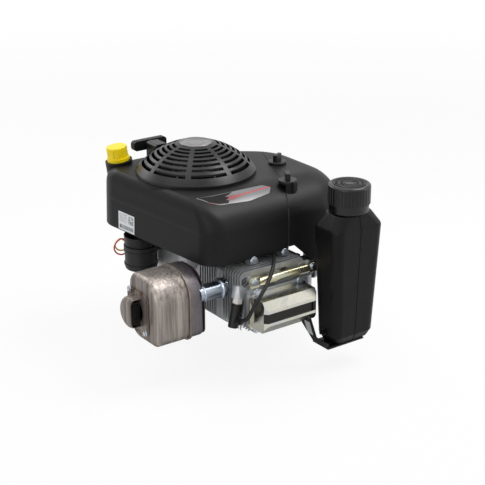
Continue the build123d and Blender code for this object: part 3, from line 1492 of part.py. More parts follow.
fuel_cap_low = tank_top_z + 2.0
fuel_band_z, fuel_crown = fuel_cap_low + fuel_collar_height, 6.0
with BuildPart() as fuel_cap:
    # plain collar below, ribbed band above it
    with BuildSketch(Plane.XY.offset(fuel_cap_low)):
        with Locations((tank_x, tank_y)):
            Circle(fuel_collar_r)
    extrude(amount=fuel_collar_height)
    with BuildSketch(Plane.XY.offset(fuel_band_z)):
        with Locations((tank_x, tank_y)):
            Circle(fuel_cap_r)
            with PolarLocations(fuel_cap_r + 0.6, 36):
                Circle(1.6, mode=Mode.SUBTRACT)
    extrude(amount=fuel_cap_height - fuel_collar_height - fuel_crown)
    with BuildSketch(Plane.XY.offset(fuel_cap_low + fuel_cap_height - fuel_crown)):
        with Locations((tank_x, tank_y)):
            Circle(fuel_cap_r)
    extrude(amount=fuel_crown)
    fillet(fuel_cap.faces().sort_by(Axis.Z)[-1].edges(), fuel_crown - 1)
    with BuildSketch(Plane.XY.offset(fuel_cap_low + fuel_cap_height)):
        with Locations((tank_x, tank_y)):
            Circle(fuel_cap_r - 8)
            Circle(fuel_cap_r - 11, mode=Mode.SUBTRACT)
    extrude(amount=-1.2, mode=Mode.SUBTRACT)
    with BuildSketch(Plane.XY.offset(fuel_cap_low)):
        with Locations((tank_x, tank_y)):
            Circle(neck_r + gap)
    extrude(amount=tank_top_z + neck_height + gap - fuel_cap_low, mode=Mode.SUBTRACT)
keep("fuel_cap", fuel_cap)

shelf_z = tank_low - gap - sheet
with BuildPart() as tank_bracket:
    # upright web from the cylinder head out to the tank
    with BuildSketch(side(strap_x)):
        Polygon((last_fin_y, 31), (last_fin_y, -2), (tank_y + 21, shelf_z + 1), (tank_y - 20, shelf_z + 1),
                (tank_y - 20, tank_low + 8), (tank_y + 15, tank_low + 8), (rocker_y, 31), align=None)
    extrude(amount=sheet)
    # shelf under the tank
    with BuildSketch(Plane.XY.offset(shelf_z)):
        with Locations((tank_x, tank_y)):
            Rectangle(2 * (tank_x - strap_x), 46)
        with Locations((2 * tank_x - strap_x, tank_y)):
            Rectangle(64, 60, mode=Mode.SUBTRACT)
    extrude(amount=sheet)
    # flange against the head's last fin
    with BuildSketch(facing(last_fin_y)):
        with Locations((strap_x - 13.5, strap_z)):
            Rectangle(30, 14)
        with Locations(*strap_screw_places):
            Circle(cover_screw_r + run, mode=Mode.SUBTRACT)
    extrude(amount=sheet)
keep("tank_bracket", tank_bracket)

# ================================================================ carburettor and air filter
carb_x0, carb_length, throat_r = intake_end + gap, 52.0, 14.0
with BuildPart() as carburetor:
    with BuildSketch(side(carb_x0)):
        with Locations((intake_y, intake_z)):
            Circle(20)
    extrude(amount=carb_length)
    with BuildSketch(side(carb_x0), side(carb_x0 + carb_length - 5)):
        with Locations((intake_y, intake_z)):
            RectangleRounded(38, 50, 8)
    extrude(amount=5)
    with BuildSketch(Plane.XY.offset(intake_z - 46)):
        with Locations((carb_x0 + carb_length / 2, intake_y)):
            Circle(22)
    extrude(amount=34)
    fillet(carburetor.faces().sort_by(Axis.Z)[0].edges(), 6)
    with BuildSketch(Plane.XY.offset(intake_z)):
        with Locations((carb_x0 + 16, intake_y)):
            Circle(6)
    extrude(amount=24)
    with BuildSketch(side(carb_x0)):
        with Locations((intake_y, intake_z)):
            Circle(throat_r)
    extrude(amount=carb_length, mode=Mode.SUBTRACT)
    with BuildSketch(Plane.XY.offset(intake_z)):
        with Locations((carb_x0 + 16, intake_y)):
            Circle(3 + run)
    extrude(amount=24, mode=Mode.SUBTRACT)
keep("carburetor", carburetor)

lever_z = intake_z + 24
with BuildPart() as throttle_lever:
    with BuildSketch(Plane.XY.offset(intake_z - 12)):
        with Locations((carb_x0 + 16, intake_y)):
            Circle(3)
    extrude(amount=36 + 6)
    with BuildSketch(Plane.XY.offset(lever_z + 1)):
        with Locations((carb_x0 + 16, intake_y)):
            Circle(7)
            with Locations((0, 15)):
                RectangleRounded(9, 36, 4)
            with Locations((0, 28)):
                Circle(1.6, mode=Mode.SUBTRACT)
    extrude(amount=2.5)
    # the butterfly in the throat
    with BuildSketch(Plane.XY.offset(intake_z - 9)):
        with Locations((carb_x0 + 16, intake_y)):
            Rectangle(1.6, 20)
    extrude(amount=18)
keep("throttle_lever", throttle_lever)

filter_z = 192.0
filter_corners = [(94, -176), (218, -172), (220, -20), (170, -20)]
element_corners = [(118, -160), (208, -160), (210, -34), (178, -34)]
horn_x, horn_y, horn_r = carb_x0 + carb_length + 26, -140.0, 17.0
horn_path = FilletPolyline((carb_x0 + carb_length + gap, intake_y, intake_z), (horn_x, intake_y, intake_z),
                           (horn_x, horn_y, intake_z + 60), (horn_x, horn_y, filter_z), radius=[20, 22])
with BuildPart() as air_filter_base:
    with BuildSketch(Plane.XY.offset(filter_z)):
        with BuildLine():
            FilletPolyline(*filter_corners, radius=[8, 20, 12, 10], close=True)
        make_face()
    extrude(amount=16)
    with BuildSketch(Plane.XY.offset(filter_z + 3)):
        with BuildLine():
            FilletPolyline(*filter_corners, radius=[8, 20, 12, 10], close=True)
        make_face()
        offset(amount=-3)
    extrude(amount=16, mode=Mode.SUBTRACT)
    # the horn that leads down to the carburettor
    with BuildSketch(Plane(origin=(carb_x0 + carb_length + gap, intake_y, intake_z), z_dir=(1, 0, 0))):
        Circle(horn_r)
    sweep(path=horn_path)
    with BuildSketch(Plane(origin=(carb_x0 + carb_length + gap, intake_y, intake_z), z_dir=(1, 0, 0))):
        Circle(horn_r - 3)
    sweep(path=horn_path, mode=Mode.SUBTRACT)
    with BuildSketch(Plane.XY.offset(filter_z - 1)):
        with Locations((horn_x, horn_y)):
            Circle(horn_r - 3)
    extrude(amount=5, mode=Mode.SUBTRACT)
    # studs for the cover's knobs
    with BuildSketch(Plane.XY.offset(filter_z)):
        with Locations(*knob_places):
            Circle(stud_r)
    extrude(amount=knob_seat + 9 - filter_z)
keep("air_filter_base", air_filter_base)

with BuildPart() as air_filter_element:
    with BuildSketch(Plane.XY.offset(filter_z + 3 + gap)):
        with BuildLine():
            Polyline(*element_corners, close=True)
        make_face()
        with Locations(*knob_places):
            Circle(stud_r + 3, mode=Mode.SUBTRACT)
    extrude(amount=34)
    with BuildSketch(Plane.XY.offset(filter_z + 3 + gap + 34)):
        for row in range(11):
            with Locations((160, -152 + 11 * row)):
                Rectangle(140, 3)
    extrude(amount=-6, mode=Mode.SUBTRACT)
keep("air_filter_element", air_filter_element)

# ================================================================ control bracket and governor
with BuildPart() as control_bracket:
    with BuildSketch(side(rail_x0)):
        with Locations((rail_y, rail_z)):
            Circle(rail_r)
            Circle(rail_r - 2, mode=Mode.SUBTRACT)
    extrude(amount=rail_x1 - rail_x0)
    # flattened ends, screwed to the head's top fins
    with BuildSketch(facing(rail_y - 5 + rail_sheet)):
        with Locations(*rail_screw_places):
            RectangleRounded(24, 22, 5)
            Circle(cover_screw_r + run, mode=Mode.SUBTRACT)
    extrude(amount=rail_sheet)
    with BuildSketch(Plane.XY.offset(rail_z + rail_r - 2)):
        with Locations((rail_x0 + 40, rail_y + 6)):
            RectangleRounded(30, 13, 4)
    extrude(amount=2)
keep("control_bracket", control_bracket)

governor_at = (92.0, -30.0)
with BuildPart() as governor_lever:
    with BuildSketch(Plane.XY.offset(case_top + gap)):
        with Locations(governor_at):
            Circle(6)
    extrude(amount=12)
    with BuildSketch(Plane.XY.offset(case_top + 6)):
        with Locations(governor_at):
            Circle(9)
            with Locations((10, -52)):
                Rectangle(9, 96, rotation=10)
            with Locations((20, -100)):
                Circle(6)
                Circle(1.6, mode=Mode.SUBTRACT)
    extrude(amount=2.5)
keep("governor_lever", governor_lever)

# ================================================================ screws of one size
with BuildPart() as hex_screws:
    for y, places, head_r in ((rocker_y - 2.5, cover_screw_places, 5.2), (rail_y - 5, rail_screw_places, 6),
                              (last_fin_y - sheet, strap_screw_places, 5.2),
                              (housing_face_y - 2.5, housing_screw_places, 6.6)):
        with BuildSketch(facing(y)):
            with Locations(*places):
                RegularPolygon(head_r, 6)
        extrude(amount=4.5)
        with BuildSketch(facing(y)):
            with Locations(*places):
                Circle(cover_screw_r)
        extrude(amount=-10)
    with BuildSketch(side(muffler_front - 1.5)):
        with Locations(*outlet_screw_places):
            RegularPolygon(4.5, 6)
    extrude(amount=-3.2)
    with BuildSketch(side(muffler_front - 1.5)):
        with Locations(*outlet_screw_places):
            Circle(outlet_screw_r)
    extrude(amount=6)
keep("hex_screws", hex_screws)

for name, piece in pieces.items():
    piece.part.label = name
    export_step(piece.part, f"parts/{name}.step")
print(len(pieces), "nodes written")
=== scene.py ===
"""Dresses the small gasoline engine: a finish for every piece, trim that stands proud, and the studio."""

import json
import math

import bmesh
import bpy
from bpy.props import FloatProperty, FloatVectorProperty, PointerProperty
from mathutils import Matrix, Vector

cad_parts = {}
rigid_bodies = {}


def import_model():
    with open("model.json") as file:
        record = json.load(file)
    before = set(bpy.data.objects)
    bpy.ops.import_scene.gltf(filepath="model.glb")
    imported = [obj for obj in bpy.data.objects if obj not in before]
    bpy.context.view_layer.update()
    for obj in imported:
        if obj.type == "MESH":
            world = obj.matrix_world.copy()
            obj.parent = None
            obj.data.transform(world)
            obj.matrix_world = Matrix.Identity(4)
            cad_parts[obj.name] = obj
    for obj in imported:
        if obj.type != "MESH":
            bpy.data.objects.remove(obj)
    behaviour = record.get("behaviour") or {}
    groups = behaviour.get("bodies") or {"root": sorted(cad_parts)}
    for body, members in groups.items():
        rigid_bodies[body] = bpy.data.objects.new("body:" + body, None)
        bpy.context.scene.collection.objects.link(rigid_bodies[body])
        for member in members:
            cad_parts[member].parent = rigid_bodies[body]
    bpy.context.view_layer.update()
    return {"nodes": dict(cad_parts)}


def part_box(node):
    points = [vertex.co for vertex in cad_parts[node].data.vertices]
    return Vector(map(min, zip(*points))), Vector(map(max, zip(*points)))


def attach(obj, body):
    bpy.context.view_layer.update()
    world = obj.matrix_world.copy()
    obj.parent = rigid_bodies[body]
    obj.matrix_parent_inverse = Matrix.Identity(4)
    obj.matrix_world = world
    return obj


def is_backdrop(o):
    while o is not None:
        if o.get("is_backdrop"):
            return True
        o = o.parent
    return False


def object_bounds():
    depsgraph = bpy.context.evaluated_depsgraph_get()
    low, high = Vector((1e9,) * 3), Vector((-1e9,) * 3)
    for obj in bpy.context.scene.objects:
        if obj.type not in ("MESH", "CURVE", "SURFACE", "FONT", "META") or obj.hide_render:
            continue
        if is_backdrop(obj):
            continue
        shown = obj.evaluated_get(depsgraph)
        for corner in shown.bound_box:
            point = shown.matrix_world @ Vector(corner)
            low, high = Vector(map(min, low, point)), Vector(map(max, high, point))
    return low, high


bl_info = {
    "name": "Small engine dresser",
    "version": (1, 0, 0),
    "blender": (4, 5, 0),
    "location": "3D View > Sidebar > Engine",
    "description": "Finishes, trim pieces and studio for a small vertical-shaft gasoline engine",
    "category": "Object",
}

# the exhaust pipe's straight run: its outer radius, then its axis across and up
PIPE_R, PIPE_Y, PIPE_Z = 0.0160, -0.1724, 0.0900

# where the housing meets the intake cover: a point on the line and its normal, in plan
PARTING = ((0.075, -0.200), (0.9075, -0.4201))

# the side label's lowest and highest corner on the housing's left face: along it, then up
LABEL = ((0.028, 0.148), (0.079, 0.185))

# faces that meet at more than this angle, in degrees, keep a sharp edge
CREASE = 35.0

# films are dropped onto their surface from this far outside it
AWAY = 0.02

for leftover in list(bpy.data.objects):
    bpy.data.objects.remove(leftover)
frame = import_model()


def srgb(red, green, blue):
    """A display colour in 0-255 as the linear triple that the shaders work in."""
    shares = (red / 255, green / 255, blue / 255)
    return tuple(v / 12.92 if v <= 0.04045 else ((v + 0.055) / 1.055) ** 2.4 for v in shares)


def paint(name, description, red, green, blue):
    """A colour that a user can change."""
    return FloatVectorProperty(name=name, description=description, subtype="COLOR", size=3, min=0, max=1,
                               default=srgb(red, green, blue))


def length(name, description, default):
    """A size that a user can change."""
    return FloatProperty(name=name, description=description, default=default, unit="LENGTH", precision=5)


class EngineColours(bpy.types.PropertyGroup):
    """Colours that change from one engine to the next."""

    housing_black: paint("Housing black", "Moulded blower housing, cover and grille", 13, 13, 14)
    tank_black: paint("Tank black", "Blow-moulded fuel tank", 9, 9, 11)
    rubber_black: paint("Rubber black", "Lead, boot and wire sleeves", 12, 12, 13)
    paint_black: paint("Paint black", "Painted sheet metal brackets and starter", 17, 17, 18)
    filler_yellow: paint("Filler yellow", "Oil filler cap", 255, 226, 6)
    cast_grey: paint("Cast aluminium", "Crankcase, cylinder head and fins", 200, 202, 204)
    zinc_white: paint("Clear zinc", "Screws, washers and exhaust pipe", 214, 219, 224)
    zinc_yellow: paint("Yellow zinc", "Rail, plates and nuts with yellow passivate", 192, 190, 166)
    muffler_grey: paint("Muffler steel", "Aluminised muffler shells", 164, 156, 150)
    muffler_stain: paint("Muffler stain", "Heat marks round the outlet and the seam", 82, 56, 38)
    cover_steel: paint("Valve cover steel", "Bright pressed valve cover", 198, 199, 197)
    wire_red: paint("Red wire", "Starter feed wire", 214, 38, 52)
    wire_yellow: paint("Yellow wire", "Starter earth wire", 232, 216, 40)
    panel_silver: paint("Panel silver", "Trim panel on the housing shoulder", 132, 132, 134)
    panel_red: paint("Panel stripe", "Thin stripe on the trim panel", 206, 44, 44)
    label_white: paint("Label white", "Ground of the side label", 232, 234, 236)


class EngineTrim(bpy.types.PropertyGroup):
    """Sizes of the trim that this script adds to the frame."""

    film: length("Film", "Thickness of the stuck-on panel and labels", 0.0003)
    seam_width: length("Tank seam width", "Width of the moulding seam round the tank", 0.0016)
    seam_height: length("Tank seam height", "How far the moulding seam stands proud", 0.0006)
    ripple: length("Ripple height", "Height of the raised bars on the fuel cap", 0.0012)
    washer: length("Washer", "Thickness of the washers under the hexagon screws", 0.0012)
    inlet_radius: length("Inlet ring", "Inner radius of the ring under the housing's air hole", 0.1105)
    guard_radius: length("Starter guard", "Outer radius of the guard round the starter's drive end", 0.0318)
    ring_height: length("Badge ring", "Height of the rolled edge round the grille disc", 0.0012)


def colours():
    return bpy.context.scene.engine_colours


def trim():
    return bpy.context.scene.engine_trim


class Wire:
    """A socket that takes part in sums: each operator adds the Math node it needs."""

    def __init__(self, graph, socket):
        self.graph, self.socket = graph, socket

    def maths(self, operation, *values):
        return self.graph.node("ShaderNodeMath", {"operation": operation}, dict(enumerate(values)))

    def __add__(self, other):
        return self.maths("ADD", self, other)

    def __sub__(self, other):
        return self.maths("SUBTRACT", self, other)

    def __rsub__(self, other):
        return self.maths("SUBTRACT", other, self)

    def __mul__(self, other):
        return self.maths("MULTIPLY", self, other)

    def __abs__(self):
        return self.maths("ABSOLUTE", self)

    __radd__ = __add__
    __rmul__ = __mul__


class Graph:
    """A node tree that is written as expressions."""

    def __init__(self, tree):
        self.tree = tree
        self.tree.nodes.clear()

    def feed(self, socket, value):
        if isinstance(value, Wire):
            self.tree.links.new(value.socket, socket)
        elif hasattr(socket.default_value, "__len__"):
            wide = len(socket.default_value)
            socket.default_value = (tuple(value) + (1.0,))[:wide]
        else:
            socket.default_value = value

    def node(self, kind, settings=None, values=None, out=0):
        """Add a node: its settings and ramp stops first, then values or wires; gives back an output."""
        made = self.tree.nodes.new(kind)
        for key, value in (settings or {}).items():
            if key == "stops":
                ramp = made.color_ramp.elements
                while len(ramp) < len(value):
                    ramp.new(0.5)
                for stop, (at, shade) in zip(ramp, value):
                    stop.position = at
                    stop.color = (*shade, 1.0)
            else:
                setattr(made, key, value)
        for key, value in (values or {}).items():
            self.feed(made.inputs[key], value)
        return Wire(self, made.outputs[out]) if made.outputs else made

    def outputs(self, wire, *keys):
        """Further outputs of the node that a wire comes from."""
        return [Wire(self, wire.socket.node.outputs[key]) for key in keys]

    def sine(self, value):
        return self.node("ShaderNodeMath", {"operation": "SINE"}, {0: value})


class Finish(Graph):
    """One material, built on the piece's own coordinates."""

    def __init__(self, name):
        self.material = bpy.data.materials.new(name)
        self.material.use_nodes = True
        super().__init__(self.material.node_tree)
        self.here = self.node("ShaderNodeTexCoord", out=3)

    def placed(self, scale=(1, 1, 1), shift=(0, 0, 0), turn=(0, 0, 0)):
        """The coordinates, scaled, moved and turned for one pattern."""
        return self.node("ShaderNodeMapping", None, {0: self.here, 1: shift, 2: turn, 3: scale})

    def noise(self, scale, detail=4.0, rough=0.55, at=None, distortion=0.0):
        """Cloudy noise, 0 to 1."""
        return self.node("ShaderNodeTexNoise", None, {
            "Vector": at or self.here, "Scale": scale, "Detail": detail, "Roughness": rough,
            "Distortion": distortion,
        })

    def cells(self, scale):
        """Distance to the nearest of scattered points: crystals and pits."""
        return self.node("ShaderNodeTexVoronoi", {"feature": "F1"}, {"Vector": self.here, "Scale": scale})

    def waves(self, direction, scale):
        """Even bands across X, Y, Z or the diagonal."""
        values = {"Vector": self.here, "Scale": scale}
        return self.node("ShaderNodeTexWave", {"bands_direction": direction}, values)

    def axes(self):
        """The coordinates one by one."""
        return self.outputs(self.node("ShaderNodeSeparateXYZ", None, {0: self.here}), 0, 1, 2)

    def step(self, value, low, high):
        """0 below low, 1 above high, eased between them."""
        kind = {"interpolation_type": "SMOOTHSTEP"}
        return self.node("ShaderNodeMapRange", kind, {0: value, 1: low, 2: high})

    def band(self, value, middle, half, soft):
        """1 within half of the middle, easing to 0 over soft."""
        return 1 - self.step(abs(value - middle), half - soft, half + soft)

    def blend(self, share, under, over):
        """One colour over another, by a share of 0 to 1."""
        return self.node("ShaderNodeMix", {"data_type": "RGBA"}, {0: share, 6: under, 7: over}, 2)

    def far(self, centre, stretch=(1, 1, 1)):
        """Distance from a point, in metres."""
        shift = tuple(-c * s for c, s in zip(centre, stretch))
        moved = self.placed(scale=stretch, shift=shift)
        return self.node("ShaderNodeVectorMath", {"operation": "LENGTH"}, {0: moved}, 1)

    def ramp(self, value, *stops):
        """A colour ramp of (place, colour) stops."""
        return self.node("ShaderNodeValToRGB", {"stops": stops}, {0: value})

    def relief(self, height, depth):
        """A normal from a height of 0 to 1 over that depth in metres."""
        return self.node("ShaderNodeBump", None, {"Strength": 1.0, "Distance": depth, "Height": height})

    def done(self, colour, rough, normal, metallic=0.0, gloss=0.5, coat=0.0):
        """The finished material."""
        shader = self.node("ShaderNodeBsdfPrincipled", None, {
            "Base Color": colour, "Roughness": rough, "Normal": normal, "Metallic": metallic,
            "Specular IOR Level": gloss, "Coat Weight": coat, "Coat Roughness": 0.1,
        })
        self.node("ShaderNodeOutputMaterial", None, {0: shader})
        return self.material


# ---------------------------------------------------------------- finishes: plastics, rubber and rope
def moulded_plastic(name, base, grain_scale=1500.0, grain=0.00012, gloss=0.2, low=0.33, spread=0.14,
                    parting=None):
    """Satin moulding: spark-eroded grain, flow marks and a trace of dust."""
    f = Finish(name)
    fine = f.noise(grain_scale, 3.0, 0.6)
    pits = f.cells(grain_scale * 0.55)
    flow = f.noise(9.0, 5.0, 0.6, distortion=0.6)
    dust = f.step(f.noise(38.0, 6.0, 0.7), 0.55, 0.85)
    lighter = tuple(min(1.0, c * 1.9 + 0.003) for c in base)
    shade = f.blend(flow * 0.4 + dust * 0.2, base, lighter)
    rough = low + spread * flow + 0.06 * fine
    height = fine * 0.7 + pits * 0.5
    if parting:
        x, y, _ = f.axes()
        (px, py), (nx, ny) = parting
        half, dark, deep = 0.0005, (0.0005, 0.0005, 0.0005), 6.0
        gap = f.band(nx * (x - px) + ny * (y - py), 0.0, half, half)
        shade = f.blend(gap, shade, dark)
        height = height - gap * deep
    return f.done(shade, rough, f.relief(height, grain), gloss=gloss)


def housing_plastic():
    return moulded_plastic("housing_plastic", colours().housing_black, parting=PARTING)


def grille_plastic():
    return moulded_plastic("grille_plastic", colours().housing_black, 1900.0, 0.00007, 0.34, 0.25, 0.12)


def knob_plastic():
    return moulded_plastic("knob_plastic", colours().paint_black, 1700.0, 0.00008, 0.3, 0.28, 0.12)


def grip_plastic():
    return moulded_plastic("grip_plastic", colours().housing_black, 1100.0, 0.00018, 0.26, 0.34, 0.12)


def inner_plastic():
    """Fan and spool: plain black nylon with radial flow lines."""
    f = Finish("inner_plastic")
    x, y, _ = f.axes()
    turn = f.node("ShaderNodeMath", {"operation": "ARCTAN2"}, {0: y, 1: x})
    radial = f.sine(turn * 60 + 4 * f.noise(30.0))
    fine = f.noise(1300.0, 3.0)
    shade = f.blend(f.noise(22.0, 4.0), colours().housing_black, srgb(46, 46, 47))
    return f.done(shade, 0.42 + 0.1 * fine, f.relief(radial * 0.3 + fine, 0.00008), gloss=0.35)


def tank_plastic():
    """Blow-moulded polyethylene: waxy, faintly wavy, with vertical draw marks."""
    f = Finish("tank_plastic")
    draw = f.noise(70.0, 4.0, 0.6, at=f.placed(scale=(1, 1, 0.06)))
    waves = f.noise(16.0, 3.0, 0.5)
    fine = f.noise(1100.0, 3.0, 0.6)
    scuff = f.step(f.noise(60.0, 6.0, 0.75, at=f.placed(scale=(1, 1, 0.35))), 0.6, 0.8)
    shade = f.blend(scuff * 0.3 + waves * 0.2, colours().tank_black, srgb(42, 42, 45))
    rough = 0.30 + 0.12 * waves + 0.08 * draw + 0.05 * scuff
    return f.done(shade, rough, f.relief(draw * 0.25 + waves + fine * 0.05, 0.0012), gloss=0.16)


def cap_plastic():
    """Ribbed fuel cap: harder, glossier, worn paler on the ribs."""
    f = Finish("cap_plastic")
    worn = f.step(f.noise(90.0, 6.0, 0.7), 0.52, 0.75)
    fine = f.noise(1600.0, 3.0)
    shade = f.blend(worn * 0.4, colours().tank_black, srgb(58, 58, 60))
    return f.done(shade, 0.26 + 0.14 * worn + 0.05 * fine, f.relief(fine, 0.00008), gloss=0.45)


def filler_yellow():
    """Bright filler cap: slightly translucent looking, with knit lines and finger marks."""
    f = Finish("filler_yellow")
    cloud = f.noise(35.0, 4.0, 0.6)
    marks = f.step(f.noise(120.0, 5.0, 0.7), 0.58, 0.8)
    fine = f.noise(1500.0, 3.0)
    deeper = tuple(c * 0.8 for c in colours().filler_yellow)
    shade = f.blend(cloud * 0.5 + marks * 0.3, colours().filler_yellow, deeper)
    return f.done(shade, 0.3 + 0.15 * marks + 0.04 * fine, f.relief(fine + cloud, 0.0001), gloss=0.4)


def rubber(name, base, ribs=0.0):
    """Moulded rubber with a matt bloom."""
    f = Finish(name)
    bloom = f.step(f.noise(65.0, 6.0, 0.7), 0.45, 0.85)
    fine = f.noise(2100.0, 2.0)
    _, _, z = f.axes()
    wave = f.sine(z * ribs) if ribs else fine
    shade = f.blend(bloom * 0.5, base, tuple(c * 2.2 + 0.004 for c in base))
    return f.done(shade, 0.46 + 0.2 * bloom, f.relief(fine * 0.6 + wave * 0.4, 0.00012), gloss=0.35)


def lead_rubber():
    return rubber("lead_rubber", colours().rubber_black)


def boot_rubber():
    return rubber("boot_rubber", colours().rubber_black, 900.0)


def seal_rubber():
    return rubber("seal_rubber", srgb(38, 32, 28))


def wire_cover(name, base):
    """Extruded PVC: soft gloss, print-free, a little grubby."""
    f = Finish(name)
    grub = f.step(f.noise(110.0, 5.0, 0.7), 0.5, 0.8)
    fine = f.noise(900.0, 2.0)
    shade = f.blend(grub * 0.35, base, tuple(c * 0.5 for c in base))
    return f.done(shade, 0.34 + 0.2 * grub, f.relief(fine, 0.00006), gloss=0.5)


def red_cover():
    return wire_cover("red_cover", colours().wire_red)


def yellow_cover():
    return wire_cover("yellow_cover", colours().wire_yellow)


def rope_cord():
    """Braided starter rope, off-white with a dark fleck."""
    f = Finish("rope_cord")
    rings = {"Vector": f.here, "Scale": 300.0, "Distortion": 3.0}
    braid = f.node("ShaderNodeTexWave", {"wave_type": "RINGS"}, rings)
    cross = f.waves("DIAGONAL", 420.0)
    fleck = f.step(f.noise(400.0), 0.6, 0.7)
    shade = f.blend(fleck * 0.6, srgb(206, 202, 190), srgb(70, 66, 60))
    return f.done(shade, 0.65 + 0.15 * braid, f.relief(braid * cross, 0.0004), gloss=0.2)


# ---------------------------------------------------------------- finishes: metals
def cast_aluminium():
    """Die-cast skin: fine orange peel, cold-flow clouds and darker hollows."""
    f = Finish("cast_aluminium")
    peel = f.noise(520.0, 4.0, 0.6)
    cloud = f.noise(26.0, 6.0, 0.65, distortion=0.8)
    specks = f.step(f.cells(340.0), 0.0, 0.22)
    darker = tuple(c * 0.5 for c in colours().cast_grey)
    shade = f.blend(cloud, colours().cast_grey, darker)
    shade = f.blend((1 - specks) * 0.35, shade, srgb(96, 96, 96))
    rough = 0.34 + 0.2 * cloud + 0.12 * peel
    return f.done(shade, rough, f.relief(peel * 0.8 + cloud * 0.5, 0.00035), metallic=0.85)


def machined_aluminium():
    """Milled faces: fine parallel cutter marks and a light haze."""
    f = Finish("machined_aluminium")
    cut = f.noise(900.0, 2.0, at=f.placed(scale=(1, 0.05, 1), turn=(0, 0, 0.4)))
    haze = f.noise(40.0, 5.0)
    shade = f.blend(haze * 0.6 + cut * 0.3, srgb(214, 215, 216), srgb(150, 151, 153))
    return f.done(shade, 0.22 + 0.18 * haze, f.relief(cut, 0.00008), metallic=1.0)


def turned_steel(name, light, dark, low=0.2):
    """Turned and ground steel: fine rings about the shaft and faint oil stains."""
    f = Finish(name)
    rings = f.noise(1400.0, 2.0, at=f.placed(scale=(0.02, 0.02, 1)))
    oil = f.step(f.noise(55.0, 6.0, 0.7), 0.45, 0.8)
    shade = f.blend(oil * 0.6 + rings * 0.25, light, dark)
    return f.done(shade, low + 0.2 * oil + 0.05 * rings, f.relief(rings, 0.00005), metallic=1.0)


def bright_steel():
    return turned_steel("bright_steel", srgb(198, 199, 202), srgb(120, 118, 116))


def spring_steel():
    return turned_steel("spring_steel", srgb(150, 152, 158), srgb(74, 76, 84), 0.26)


def clear_zinc():
    """Blue-white zinc: bright, with tiny crystals and cloudy passivate."""
    f = Finish("clear_zinc")
    cloud = f.noise(48.0, 5.0, 0.6, distortion=0.5)
    crystal = f.cells(1600.0)
    shade = f.blend(cloud * 0.8, colours().zinc_white, srgb(160, 170, 184))
    return f.done(shade, 0.16 + 0.2 * cloud + 0.1 * crystal, f.relief(crystal, 0.00005), metallic=1.0)


def yellow_zinc():
    """Yellow passivate: straw to faint rose and green in soft clouds."""
    f = Finish("yellow_zinc")
    cloud = f.noise(34.0, 4.0, 0.6, distortion=1.2)
    base = colours().zinc_yellow
    shade = f.ramp(cloud, (0.3, srgb(176, 182, 168)), (0.46, tuple(base)), (0.6, srgb(200, 190, 150)),
                   (0.74, srgb(184, 168, 156)))
    fine = f.noise(1200.0, 2.0)
    return f.done(shade, 0.17 + 0.16 * cloud + 0.05 * fine, f.relief(fine, 0.00005), metallic=1.0)


def pipe_zinc():
    """Bent tube: bluish zinc with draw lines along it and a straw heat tint at the flange."""
    f = Finish("pipe_zinc")
    draw = f.noise(800.0, 3.0, at=f.placed(scale=(0.03, 1, 1)))
    cloud = f.noise(42.0, 5.0, distortion=0.6)
    cool_x, hot_x = -0.075, -0.030
    x, _, _ = f.axes()
    heat = f.step(x, cool_x, hot_x)
    shade = f.blend(cloud * 0.7, srgb(196, 206, 216), srgb(122, 134, 152))
    shade = f.blend(heat * 0.35, shade, srgb(176, 160, 128))
    return f.done(shade, 0.17 + 0.16 * cloud + 0.06 * draw, f.relief(draw, 0.00007), metallic=1.0)


def muffler_steel():
    """Aluminised sheet: upright drawing streaks, water marks, and brown rings where the outlet runs hot."""
    f = Finish("muffler_steel")
    low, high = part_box("muffler_front_shell")
    outlet_low, outlet_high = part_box("muffler_deflector")
    middle = (outlet_low + outlet_high) / 2
    streak = f.noise(190.0, 6.0, 0.7, at=f.placed(scale=(1, 1, 0.035)))
    stroke = f.noise(62.0, 3.0, 0.6, at=f.placed(scale=(1, 1, 0.07)))
    broad = f.noise(34.0, 5.0, 0.6, at=f.placed(scale=(1, 1, 0.3)), distortion=0.7)
    fine = f.noise(900.0, 2.0, at=f.placed(scale=(1, 1, 0.1)))
    paler = tuple(c * 1.1 for c in colours().muffler_grey)
    darker = tuple(c * 0.34 for c in colours().muffler_grey)
    shade = f.blend(f.step(streak * 0.6 + stroke * 0.4, 0.36, 0.66), paler, darker)
    shade = f.blend(f.step(broad, 0.45, 0.75) * 0.4, shade, srgb(112, 98, 88))
    # how far from the outlet: the brown ring's middle, half width and soft edge, then the halo's fade
    ring_at, ring_half, ring_soft = 0.041, 0.0045, 0.004
    halo_from, halo_to, wander = 0.036, 0.075, 0.010
    out = f.far((low.x, middle.y, middle.z), stretch=(0.35, 1, 1)) + wander * (broad - 0.5)
    ring = f.band(out, ring_at, ring_half, ring_soft) * f.step(streak + broad, 0.8, 1.15)
    halo = 1 - f.step(out, halo_from, halo_to)
    x, _, z = f.axes()
    seam_half, seam_soft, foot_from, foot_to, foot_wander = 0.004, 0.008, 0.004, 0.030, 0.012
    seam = f.band(x, high.x, seam_half, seam_soft)
    foot = 1 - f.step(z + foot_wander * broad, low.z + foot_from, low.z + foot_to)
    marks = ring * 0.75 + halo * 0.16 + seam * 0.10 + foot * 0.18
    shade = f.blend(marks, shade, colours().muffler_stain)
    rough = 0.36 + 0.14 * streak + 0.16 * marks + 0.05 * fine
    return f.done(shade, rough, f.relief(streak * 0.5 + fine * 0.3 + broad * 0.4, 0.0002), metallic=0.9)


